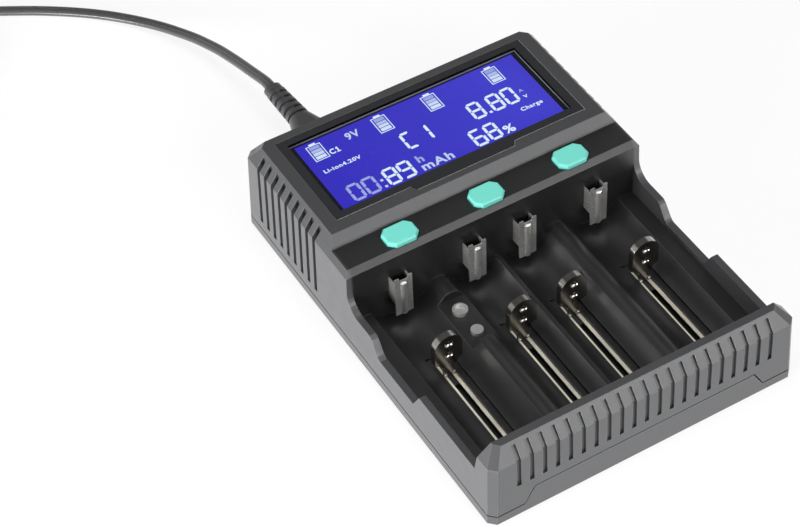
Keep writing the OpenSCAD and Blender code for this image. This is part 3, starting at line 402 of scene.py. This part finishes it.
def geometry_group(name, inputs):
    """A Geometry Nodes group with named inputs: its tree, its graph and the inputs by name."""
    tree = bpy.data.node_groups.new(name, "GeometryNodeTree")
    tree.interface.new_socket("Geometry", in_out="OUTPUT", socket_type="NodeSocketGeometry")
    tree.interface.new_socket("Geometry", in_out="INPUT", socket_type="NodeSocketGeometry")
    for title, kind in inputs:
        tree.interface.new_socket(title, in_out="INPUT", socket_type=f"NodeSocket{kind}")
    g = Graph(tree)
    entry = g.add("NodeGroupInput").socket.node
    return tree, g, {socket.name: Value(g, socket) for socket in entry.outputs if socket.name}


def close_group(g, geometry, material):
    """Ends a group in plain mesh with its finish."""
    plain = g.add("GeometryNodeRealizeInstances", None, {"Geometry": geometry})
    painted = g.add("GeometryNodeSetMaterial", None, {"Geometry": plain, "Material": material})
    g.add("NodeGroupOutput", None, {"Geometry": painted})


def grown(name, mesh, tree, values):
    """The plain mesh that a Geometry Nodes group makes from a start mesh and its named values."""
    carrier = placed(name, mesh)
    modifier = carrier.modifiers.new(tree.name, "NODES")
    modifier.node_group = tree
    for item in tree.interface.items_tree:
        if item.in_out == "INPUT" and item.name in values:
            modifier[item.identifier] = values[item.name]
    carrier.update_tag()
    result = evaluated_mesh(carrier)
    carrier.modifiers.clear()
    carrier.data = result
    result.name = name
    return carrier


def settle(obj, material):
    """Gives a piece its finish, where it has none, and its body."""
    if not obj.data.materials:
        obj.data.materials.append(material)
    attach(obj, BODY)


def sweep_group(name, material, normals):
    """Sweeps a flat round-edged section along a line; a waist parts it into two cores."""
    tree, g, value = geometry_group(
        name, [("Width", "Float"), ("Thickness", "Float"), ("Waist", "Float")])
    line = g.add("GeometryNodeMeshToCurve", None, {"Mesh": value["Geometry"]})
    flat = g.add("GeometryNodeSetCurveNormal", {"mode": normals}, {"Curve": line})
    ring = g.add("GeometryNodeCurvePrimitiveCircle", {"mode": "RADIUS"},
                 {"Resolution": SECTION_POINTS, "Radius": 1.0})
    across, high, _ = g.split(g.add("GeometryNodeInputPosition"))
    # Each half of the ring becomes one core, whose middle lies a core's radius inside the edge
    half_width, core = value["Width"] * 0.5, value["Thickness"] * 0.5
    off = abs(abs(across) * half_width - (half_width - core)) / core
    round_height = (1 - g.math("MINIMUM", off * off, 1.0)) ** 0.5
    web = round_height.larger(1 - value["Waist"])
    height = round_height + (web - round_height) * (1 - abs(across).ramp(*WEB_END))
    section = g.add("GeometryNodeSetPosition", None, {
        "Geometry": ring,
        "Position": g.add("ShaderNodeCombineXYZ", None, {
            0: across * half_width, 1: g.math("SIGN", high) * core * height}),
    })
    tube = g.add("GeometryNodeCurveToMesh", None,
                 {"Curve": flat, "Profile Curve": section, "Fill Caps": True})
    smooth = g.add("GeometryNodeSetShadeSmooth", None, {"Geometry": tube, "Shade Smooth": True})
    close_group(g, smooth, material)
    return tree


def woven_strap():
    """The lead's tie: a tight weave."""
    material, g = finish("woven_strap")
    weave = g.mortar(WEAVE_SCALE, WEAVE_GAP)
    g.principled({
        "Base Color": g.mix(weave, (0.03, 0.03, 0.032), (0.008, 0.008, 0.009)),
        "Roughness": 0.75 + g.noise(500) * 0.1,
        "Normal": g.bump(1 - weave, WEAVE_RELIEF, 0.7),
    })
    return material


lead_rubber = moulded("lead_rubber", (0.042, 0.042, 0.0445), 0.28, grain=1800, relief=0.005)
mould_rubber = moulded("mould_rubber", (0.028, 0.028, 0.03), 0.46, grain=2200, relief=0.012,
                       edge=0.35 * MM)
tie_weave = woven_strap()


def coil_strap():
    """The strap drawn tight round the coil."""
    outward = Vector((math.cos(STRAP_ANGLE), math.sin(STRAP_ANGLE), 0))
    bends = [mm(*COIL_MIDDLE, z) + outward * r * MM for r, z in STRAP_LOOP]
    line = line_mesh("strap_line", smoothed(bends, STRAP_SPACING)[:-1], closed=True)
    strap = grown("coil_strap", line, sweep_group("strap_sweep", tie_weave, "MINIMUM_TWIST"),
                  {"Width": STRAP_WIDTH * MM, "Thickness": STRAP_THICKNESS * MM, "Waist": 0.0})
    settle(strap, tie_weave)
    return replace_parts(strap, "cord_tie")


def mains_lead():
    """The flat two-core lead, with its unseen length wound into a tied coil."""
    route = smoothed(lead_route(), LEAD_SPACING)
    lead = grown("mains_lead", line_mesh("lead_line", route),
                 sweep_group("two_core_sweep", lead_rubber, "Z_UP"),
                 {"Width": LEAD_WIDTH * MM, "Thickness": LEAD_THICKNESS * MM, "Waist": LEAD_WAIST})
    settle(lead, lead_rubber)
    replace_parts(lead, "cord_lead", "cord_coil", "cord_tail")
    coil_strap()


mains_lead()


# Finishes of the solids

WINDOW_MIDDLE = 157.05 + FRONT_EDGE_Y
VIEW_HALF_X, VIEW_HALF_Y = 54.2, 21.2
LIT_MIDDLE, LIT_HALF = (0, WINDOW_MIDDLE), (52.2, 20.65)
# The printed border leaves more open at the left and the front, where the window's thickness
# would hide the view
PRINT_MIDDLE, PRINT_HALF = (-0.275, WINDOW_MIDDLE - 0.5), (54.475, 21.7)
PRINT_EDGE, LIT_EDGE = band(-0.08, 0.08), band(-0.1, 0.1)
PRINT_BLACK, PRINT_GREY = (0.016, 0.0165, 0.019), (0.022, 0.0225, 0.025)
WINDOW_ROUND, WINDOW_ALPHA = 0.45 * MM, 0.04
# The side to which the window's edges shine, and how squarely they have to face it
GLINT_SIDE, GLINT_FACING, GLINT_PALE = (0.6, -0.8, 0), (0.05, 0.45), (0.42, 0.42, 0.43)
# The display grows lighter to the right, and is blotched by a little of a darker blue
DISPLAY_BLUE, DISPLAY_BLUE_RIGHT = srgb(50, 41, 194), srgb(63, 59, 206)
BLUE_SPAN, BLOTCH_SPREAD, BLOTCH_SHARE, BLOTCH_SHADE = band(-52, 52), (0.25, 0.8), 0.22, 0.8
UNLIT_GLASS = (0.012, 0.012, 0.016, 1)
MARK_BASE, MARK_WHITE = (0.02, 0.02, 0.05, 1), srgb(226, 246, 255)
DISPLAY_SPECULAR = 0.05
# Where the painted shade of the bays and the key panel ends: at the sides, at the front and at their
# top
SUNK_SIDE, SUNK_FRONT, SUNK_TOP = band(65.6, 67.2), band(9.5, 10.5), band(41.9, 42.5)
# Height of the seam, and the band round it that is painted black as shade in its gap
SEAM_Z, SEAM_LINE = 5.275, band(0.2, 0.36)
FLAP_SIDE, REAR_HALF = band(54.6, 55.2), band(0, 1)
# How far upward the slanted rim of a key and its flat top face
KEY_SLANT = (0.6, 0.95)
TRACK_SCALE, TRACK_GAP, TRACK_RELIEF = 420.0, 0.08, 0.03 * MM
MASK_GREEN, TRACK_GREEN = (0.012, 0.11, 0.05), (0.03, 0.2, 0.09)
WINDING_SCALE, WINDING_RELIEF = 5200, 0.05 * MM
TAPE_AMBER, TAPE_BROWN = (0.6, 0.42, 0.1), (0.4, 0.24, 0.05)


def past_oblong(g, middle, half):
    """How far a place lies outside an upright oblong; less than zero inside it."""
    x, y, _ = g.split(g.place())
    return (abs(x - middle[0] * MM) - half[0] * MM).larger(abs(y - middle[1] * MM) - half[1] * MM)


def clear_window():
    """A clear sheet with a gloss black border round the view; its near edges catch the light."""
    material, g = finish("bordered_window")
    rounded = g.rounded(WINDOW_ROUND)
    glint = g.on_edge(rounded) * g.facing(rounded, GLINT_SIDE).ramp(*GLINT_FACING)
    border = past_oblong(g, PRINT_MIDDLE, PRINT_HALF).ramp(*PRINT_EDGE).larger(glint)
    haze = g.noise(60, 3)
    print_black = g.mix(g.noise(900, 2), PRINT_BLACK, PRINT_GREY)
    g.principled({
        "Base Color": g.mix(glint, print_black, GLINT_PALE),
        "Roughness": 0.09 + haze * 0.05,
        "Alpha": WINDOW_ALPHA + border * (1 - WINDOW_ALPHA),
        "Normal": g.bump(haze, 0.02 * MM, 0.2),
    })
    return material


def lit_display():
    """The blue lit face, a little lighter to the right, and the dark glass round it."""
    material, g = finish("lit_display")
    x, _, _ = g.split(g.place())
    uneven = g.noise(34, 2).ramp(*BLOTCH_SPREAD)
    blue = g.mix(x.ramp(*BLUE_SPAN), DISPLAY_BLUE, DISPLAY_BLUE_RIGHT)
    blotched = g.mix(uneven * BLOTCH_SHARE, blue, tinted(DISPLAY_BLUE, BLOTCH_SHADE))
    unlit = past_oblong(g, LIT_MIDDLE, LIT_HALF).ramp(*LIT_EDGE)
    g.principled({
        "Base Color": UNLIT_GLASS,
        "Roughness": 0.25 + uneven * 0.1,
        "Specular IOR Level": DISPLAY_SPECULAR,
        "Emission Color": g.mix(unlit, blotched, (0, 0, 0)),
        "Emission Strength": 1.0,
    })
    return material


def display_marks():
    """Lit marks, from dim to bright by their own glow."""
    material, g = finish("display_marks")
    glow = g.add("ShaderNodeAttribute", {"attribute_name": "glow"}, out="Fac")
    g.principled({
        "Base Color": MARK_BASE,
        "Roughness": 0.3 + g.noise(400) * 0.1,
        "Specular IOR Level": DISPLAY_SPECULAR,
        "Emission Color": g.mix(glow, DISPLAY_BLUE, MARK_WHITE),
        "Emission Strength": 1.0,
    })
    return material


def sunk_shade_mask(g):
    """The bays and the key panel, painted darker than the outer faces as shade."""
    x, y, z = g.split(g.place())
    along = (y - FRONT_EDGE_Y * MM).ramp(*SUNK_FRONT)
    return (1 - abs(x).ramp(*SUNK_SIDE)) * along * (1 - z.ramp(*SUNK_TOP))


def slant_shade_mask(g):
    """The slanted rim of a key, painted darker as shade."""
    _, _, up = g.split(g.add("ShaderNodeTexCoord", out="Normal"))
    return 1 - up.ramp(*KEY_SLANT)


def seam_shadow_line(g):
    """The line where the halves of the housing meet, painted black as the shade in their gap: all
    round, except at the front flap.
    """
    x, y, z = g.split(g.place())
    line = 1 - abs(z - SEAM_Z * MM).ramp(*SEAM_LINE)
    return line * abs(x).ramp(*FLAP_SIDE).larger(y.ramp(*REAR_HALF))


def circuit_board():
    """Green solder mask over faint tracks."""
    material, g = finish("circuit_board")
    tracks = g.mortar(TRACK_SCALE, TRACK_GAP)
    g.principled({
        "Base Color": g.mix(tracks * 0.6 + g.noise(90) * 0.2, MASK_GREEN, TRACK_GREEN),
        "Roughness": 0.35 + g.noise(300) * 0.15,
        "Normal": g.bump(tracks, TRACK_RELIEF, 0.5),
    })
    return material


def wound_tape():
    """Amber tape over a winding: thin rows of turns show through."""
    material, g = finish("wound_tape")
    _, _, z = g.split(g.place())
    rows = g.math("SINE", z * WINDING_SCALE)
    g.principled({
        "Base Color": g.mix(rows * 0.25 + g.noise(150) * 0.5, TAPE_AMBER, TAPE_BROWN),
        "Roughness": 0.3 + g.noise(220) * 0.2,
        "Normal": g.bump(rows, WINDING_RELIEF, 0.4),
    })
    return material


HOUSING_GREY, SUNK_SHADE = (0.036, 0.0365, 0.0385), 0.15
KEY_TURQUOISE, SLANT_SHADE = srgb(108, 203, 189), 0.62
finishes = {
    "housing": moulded("housing_plastic", HOUSING_GREY, 0.4, grain=2400, edge=0.3 * MM,
                       inside=(sunk_shade_mask, tinted(HOUSING_GREY, SUNK_SHADE)), worn_highlight=0.3,
                       seam=seam_shadow_line),
    "window": clear_window(),
    "holder": moulded("holder_plastic", (0.6, 0.61, 0.62), 0.4, grain=1600),
    "display": lit_display(),
    "light_plate": moulded("light_plate_acrylic", (0.84, 0.86, 0.88), 0.15, grain=900,
                           relief=0.003, blotch=0.03),
    "board": circuit_board(),
    "key": moulded("key_plastic", KEY_TURQUOISE, 0.36, grain=2000, relief=0.006, edge=0.45 * MM,
                   blotch=0.04, inside=(slant_shade_mask, tinted(KEY_TURQUOISE, SLANT_SHADE))),
    "switch": moulded("switch_plastic", (0.03, 0.03, 0.03), 0.5),
    "screw": plated("zinc_screw", (0.58, 0.58, 0.59), 0.34),
    "core": moulded("ferrite", (0.09, 0.09, 0.095), 0.6, grain=1400, relief=0.03),
    "bobbin": wound_tape(),
    "capacitor": moulded("printed_sleeve", (0.03, 0.04, 0.11), 0.32, grain=700, relief=0.004),
    "sink": plated("extruded_aluminium", (0.66, 0.67, 0.68), 0.38, run=(1, 12, 1)),
    "link": moulded("ribbon_insulation", (0.78, 0.77, 0.72), 0.45, grain=1500),
    "inlet": moulded("inlet_plastic", (0.022, 0.022, 0.024), 0.45, edge=0.25 * MM),
    "contact": plated("nickel_plate", (0.8, 0.79, 0.77), 0.3, run=(1, 1, 8), metal=0.92),
    "tongue": plated("dark_nickel", (0.3, 0.285, 0.265), 0.2, run=(1, 1, 10), tarnish=0.25),
    "shoe": moulded("shoe_plastic", (0.02, 0.02, 0.021), 0.4),
    "spring": plated("spring_wire", (0.52, 0.52, 0.53), 0.3),
    "rail": plated("rail_strip", (0.92, 0.87, 0.72), 0.42, run=(12, 1, 12), metal=0.4),
    "foot": moulded("foot_rubber", (0.03, 0.03, 0.03), 0.8, grain=1200, relief=0.03),
    "lead": lead_rubber,
    "lead_mould": mould_rubber,
    "tie": tie_weave,
}
for part in frame["record"]["subparts"]:
    slots = nodes[part["node"]].data.materials
    slots.clear()
    slots.append(finishes[part["material_slot"]])


# Marks on the display

PANEL_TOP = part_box("lcd_panel")[1].z / MM
MARK_RISE = 0.06
BRIGHT, MEDIUM, DIM = 0.95, 0.68, 0.42
SEGMENTS = {"0": "abcdef", "1": "bc", "6": "acdefg", "8": "abcdefg", "9": "abcdfg", "C": "adef"}
STROKE, SEGMENT_GAP, DIGIT_CUT = 1.25, 0.2, 0.95


def oblong(x0, x1, y0, y1):
    """The outline of an upright oblong."""
    return [(x0, y0), (x1, y0), (x1, y1), (x0, y1)]


def prism(bm, outline, low, high):
    """Adds a closed prism over an outline, in millimetres, and returns its corners."""
    base, top = ([bm.verts.new(mm(x, y, z)) for x, y in outline] for z in (low, high))
    bm.faces.new(top)
    bm.faces.new(base[::-1])
    for i in range(len(outline)):
        j = (i + 1) % len(outline)
        bm.faces.new((base[i], base[j], top[j], top[i]))
    return base + top


def closed_mesh(name, bm):
    """The mesh of finished closed shapes, with their faces turned outwards."""
    bmesh.ops.recalc_face_normals(bm, faces=bm.faces)
    mesh = bpy.data.meshes.new(name)
    bm.to_mesh(mesh)
    bm.free()
    return mesh


class Marks:
    """Flat shapes on the display, each with its glow, that become one thin raised mesh."""

    def __init__(self):
        self.bm = bmesh.new()
        self.glow = self.bm.verts.layers.float.new("glow")

    def shape(self, outline, glow):
        """A raised mark over an outline in millimetres, its Y from the front edge."""
        flat = [(x, y + FRONT_EDGE_Y) for x, y in outline]
        for corner in prism(self.bm, flat, PANEL_TOP, PANEL_TOP + MARK_RISE):
            corner[self.glow] = glow

    def bar(self, x0, x1, y0, y1, glow):
        self.shape(oblong(x0, x1, y0, y1), glow)

    def digit(self, sign, x0, x1, y0, y1, glow):
        """A seven-segment digit with mitred ends."""
        s, h, e, middle = STROKE, STROKE / 2, SEGMENT_GAP, (y0 + y1) / 2
        c, m = DIGIT_CUT, DIGIT_CUT / 2
        left, right = x0 + e, x1 - e
        shapes = {
            "a": [(left + s, y1 - s), (right - s, y1 - s), (right - m, y1 - m), (right - c, y1),
                  (left + c, y1), (left + m, y1 - m)],
            "d": [(left + m, y0 + m), (left + c, y0), (right - c, y0), (right - m, y0 + m),
                  (right - s, y0 + s), (left + s, y0 + s)],
            "g": [(left + h, middle), (left + s, middle - h), (right - s, middle - h),
                  (right - h, middle), (right - s, middle + h), (left + s, middle + h)],
        }
        for name, x, side, y, rise in (("f", x0, 1, y1, -1), ("b", x1, -1, y1, -1),
                                       ("e", x0, 1, y0, 1), ("c", x1, -1, y0, 1)):
            shapes[name] = [
                (x, middle - rise * e), (x, y + rise * (c + e)),
                (x + side * m, y + rise * (m + e)), (x + side * s, y + rise * (s + e)),
                (x + side * s, middle - rise * (h + e)), (x + side * h, middle - rise * e)]
        for segment in SEGMENTS[sign]:
            self.shape(shapes[segment], glow)

    def mesh(self, name):
        return closed_mesh(name, self.bm)


marks_finish = display_marks()

digits = Marks()
LOW_ROW, TIME_ROW, READING_ROW = (137.7, 147.6), (137.9, 147.7), (151.6, 161.7)
for sign, x0, x1, row, glow in (
        ("0", -46.0, -40.2, TIME_ROW, DIM), ("0", -39.3, -33.3, TIME_ROW, DIM),
        ("8", -29.6, -23.6, TIME_ROW, BRIGHT), ("9", -22.9, -16.8, TIME_ROW, BRIGHT),
        ("C", -12.9, -7.7, READING_ROW, BRIGHT), ("1", -4.4, -0.2, READING_ROW, BRIGHT),
        ("8", 19.0, 25.0, READING_ROW, BRIGHT), ("8", 28.2, 34.2, READING_ROW, BRIGHT),
        ("0", 35.2, 41.0, READING_ROW, BRIGHT),
        ("6", 11.3, 17.2, LOW_ROW, BRIGHT), ("8", 18.2, 24.0, LOW_ROW, BRIGHT)):
    digits.digit(sign, x0, x1, *row, glow)
DOT_HALF = 0.6
for x, y, glow in ((-31.3, 142.8, MEDIUM), (-31.3, 138.9, MEDIUM), (26.7, 152.6, BRIGHT)):
    digits.bar(x - DOT_HALF, x + DOT_HALF, y - DOT_HALF, y + DOT_HALF, glow)
# The small figure one beside the first cell sign, with its flag and foot
digits.bar(-37.6, -36.95, 166.95, 169.5, BRIGHT)
digits.bar(-38.1, -36.4, 166.5, 166.95, BRIGHT)
digits.shape([(-38.15, 168.5), (-37.6, 168.85), (-37.6, 169.5)], BRIGHT)
settle(placed("display_digits", digits.mesh("display_digits")), marks_finish)

CELL_PLACES = (-45.0, -14.5, 9.3, 39.2)
# Ends and glow of the bars in a cell sign
CELL_BARS = [(166.9, 168.7, 0.86), (169.1, 170.7, 0.78), (171.0, 172.5, 0.58), (172.9, 174.7, 0.4)]


def cell_icon():
    """One cell sign: a thin outline with a cap and four bars."""
    icon = Marks()
    half, low, high, line = 3.3, 166.0, 175.5, 0.4
    bar_half, cap_half, cap = 2.3, 1.5, 176.5
    icon.bar(-half, -half + line, low, high, BRIGHT)
    icon.bar(half - line, half, low, high, BRIGHT)
    icon.bar(-half + line, half - line, low, low + line, BRIGHT)
    icon.bar(-half + line, half - line, high - line, high, BRIGHT)
    icon.bar(-cap_half, cap_half, high, cap, BRIGHT)
    for y0, y1, glow in CELL_BARS:
        icon.bar(-bar_half, bar_half, y0, y1, glow)
    return icon.mesh("cell_icon")


def icon_group(material):
    """Sets a copy of the cell sign on every point."""
    tree, g, value = geometry_group("icons_on_points", [("Icon", "Object"), ("Size", "Float")])
    shape = g.add("GeometryNodeObjectInfo", None, {"Object": value["Icon"]}, out="Geometry")
    copies = g.add("GeometryNodeInstanceOnPoints", None,
                   {"Points": value["Geometry"], "Instance": shape, "Scale": value["Size"]})
    close_group(g, copies, material)
    return tree


def cell_icons():
    """The four cell signs along the top of the display."""
    source = placed("cell_icon", cell_icon())
    points = bpy.data.meshes.new("icon_points")
    points.from_pydata([mm(x, 0, 0) for x in CELL_PLACES], [], [])
    icons = grown("display_icons", points, icon_group(marks_finish), {"Icon": source, "Size": 1.0})
    bpy.data.objects.remove(source)
    settle(icons, marks_finish)


cell_icons()


LETTER_WEIGHT, LETTER_SPACE, LETTER_STEPS = 0.028, 1.12, 3
WELD = 1e-7


def word(text, x0, x1, y0, y1, glow):
    """A word as thin mesh, stretched to fill a box on the display."""
    curve = bpy.data.curves.new("word", "FONT")
    curve.body, curve.extrude, curve.resolution_u = text, MARK_RISE * MM / 2, LETTER_STEPS
    curve.offset, curve.space_character = LETTER_WEIGHT, LETTER_SPACE
    letters = placed("word", curve)
    mesh = evaluated_mesh(letters)
    bpy.data.objects.remove(letters)
    bpy.data.curves.remove(curve)
    co = np.array([v.co for v in mesh.vertices])
    low, high = co.min(axis=0), co.max(axis=0)
    corner = mm(x0, y0 + FRONT_EDGE_Y, PANEL_TOP)
    size = ((x1 - x0) * MM, (y1 - y0) * MM, MARK_RISE * MM)
    for vert, at in zip(mesh.vertices, (co - low) / (high - low)):
        vert.co = corner + Vector(at[k] * size[k] for k in range(3))
    values = mesh.attributes.new("glow", "FLOAT", "POINT")
    values.data.foreach_set("value", [glow] * len(mesh.vertices))
    return mesh


def joined(name, meshes):
    """One mesh from several, with their glow kept."""
    bm = bmesh.new()
    bm.verts.layers.float.new("glow")
    for mesh in meshes:
        bm.from_mesh(mesh)
    bmesh.ops.remove_doubles(bm, verts=bm.verts, dist=WELD)
    return closed_mesh(name, bm)


words = [word(*w) for w in (
    ("C", -41.0, -38.6, 166.5, 169.5, BRIGHT), ("9V", -31.2, -25.0, 170.0, 174.2, MEDIUM),
    ("Li-ion4.20V", -48.5, -31.5, 158.3, 160.4, BRIGHT), ("h", -13.7, -10.8, 143.0, 147.2, DIM),
    ("mAh", -14.0, 0.5, 138.0, 142.5, MEDIUM), ("A", 42.7, 44.7, 156.0, 157.7, DIM),
    ("V", 42.7, 44.7, 152.0, 153.8, BRIGHT), ("%", 25.2, 30.0, 138.0, 142.7, BRIGHT),
    ("Charge", 37.6, 47.8, 145.2, 148.0, BRIGHT))]
settle(placed("display_words", joined("display_words", words)), marks_finish)


def display_surround():
    """The thin lip of the view opening, seen under the window along its far edges, made pale as a
    painted highlight of the light on that edge.
    """
    low, high, thickness, clearance = 43.9, 44.45, 0.2, 0.03
    right, reach = VIEW_HALF_X - clearance, VIEW_HALF_Y - clearance
    front, back = WINDOW_MIDDLE - reach, WINDOW_MIDDLE + reach
    bm = bmesh.new()
    prism(bm, oblong(-right, right, back - thickness, back), low, high)
    prism(bm, oblong(right - thickness, right, front, back - thickness), low, high)
    lip = placed("display_surround", closed_mesh("display_surround", bm))
    settle(lip, moulded("lip_highlight_plastic", (0.13, 0.135, 0.145), 0.35))


display_surround()


# Floor, light and background

STUDIO_RADIUS, STUDIO_HEIGHT, STUDIO_SIDES = 5.0, 3.2, 48
FLOOR_PAINT = (0.88, 0.88, 0.88, 1)
# Share of plain white in the floor near the charger; the rest keeps its shadow
SEEN_WHITE = 0.8
# Distances over which the floor fades to plain white, and over which its own glow ends
FADE, GLOW_END = (0.5, 1.6), (0.4, 0.9)
FLOOR_GLOW, GLOW_SHARE, CEILING_LEVEL = 5.0, 0.58, 0.16
LIT_POINT = mm(0, 0, 25)


def pale_studio():
    """A plain pale floor that gives a soft light from below, keeps the charger's shadow and runs
    into a round wall."""
    material, g = finish("pale_studio")
    rays = g.add("ShaderNodeLightPath").socket.node.outputs
    camera, glossy, through = (Value(g, rays[f"Is {kind} Ray"])
                               for kind in ("Camera", "Glossy", "Transmission"))
    paint = g.add("ShaderNodeBsdfDiffuse", None, {"Color": FLOOR_PAINT})
    white = g.add("ShaderNodeEmission", None, {"Color": PLAIN_WHITE, "Strength": 1.0})
    glow = g.add("ShaderNodeEmission", None, {"Color": PLAIN_WHITE, "Strength": FLOOR_GLOW})
    x, y, _ = g.split(g.place())
    away = (x * x + y * y) ** 0.5
    share = (1 - away.ramp(*GLOW_END)) * (1 - camera) * GLOW_SHARE
    lit = g.add("ShaderNodeMixShader", None, {0: share, 1: paint, 2: glow})
    whiteness = SEEN_WHITE + away.ramp(*FADE) * (1 - SEEN_WHITE)
    seen = camera.larger(glossy).larger(through) * whiteness
    surface = g.add("ShaderNodeMixShader", None, {0: seen, 1: lit, 2: white})
    g.add("ShaderNodeOutputMaterial", None, {"Surface": surface})
    angles = [i * math.tau / STUDIO_SIDES for i in range(STUDIO_SIDES)]
    low = [(STUDIO_RADIUS * math.cos(a), STUDIO_RADIUS * math.sin(a), 0) for a in angles]
    high = [(x, y, STUDIO_HEIGHT) for x, y, _ in low]
    sides = [(i, i + STUDIO_SIDES, (i + 1) % STUDIO_SIDES + STUDIO_SIDES, (i + 1) % STUDIO_SIDES)
             for i in range(STUDIO_SIDES)]
    mesh = bpy.data.meshes.new("studio_floor")
    mesh.from_pydata(low + high, [], [tuple(range(STUDIO_SIDES)), *sides])
    mesh.materials.append(material)
    floor = placed("studio_floor", mesh)


def softbox(name, direction, distance, width, height, level):
    """An area lamp that lights a facing white surface to that level."""
    toward = Vector(direction).normalized()
    data = bpy.data.lights.new(name, "AREA")
    data.shape, data.size, data.size_y = "RECTANGLE", width, height
    data.energy = level * (math.pi * distance) ** 2
    lamp = placed(name, data)
    lamp.matrix_world = (Matrix.Translation(LIT_POINT + toward * distance)
                         @ toward.to_track_quat("Z", "Y").to_matrix().to_4x4())


def dim_ceiling():
    """A plain even light from above the studio's wall."""
    world = bpy.data.worlds.new("ceiling")
    bpy.context.scene.world = world
    world.use_nodes = True
    g = Graph(world.node_tree)
    light = g.add("ShaderNodeBackground", None, {"Color": PLAIN_WHITE, "Strength": CEILING_LEVEL})
    g.add("ShaderNodeOutputWorld", None, {"Surface": light})


pale_studio()
softbox("left_softbox", (-0.96, -0.22, 0.14), distance=1.1, width=0.8, height=0.3, level=2.3)
softbox("front_softbox", (0.3, -0.82, 0.42), distance=2.2, width=2.0, height=1.0, level=0.82)
softbox("top_softbox", (-0.05, 0, 1), distance=1.3, width=0.8, height=0.8, level=0.56)
dim_ceiling()
bpy.context.scene.view_settings.view_transform = "Standard"
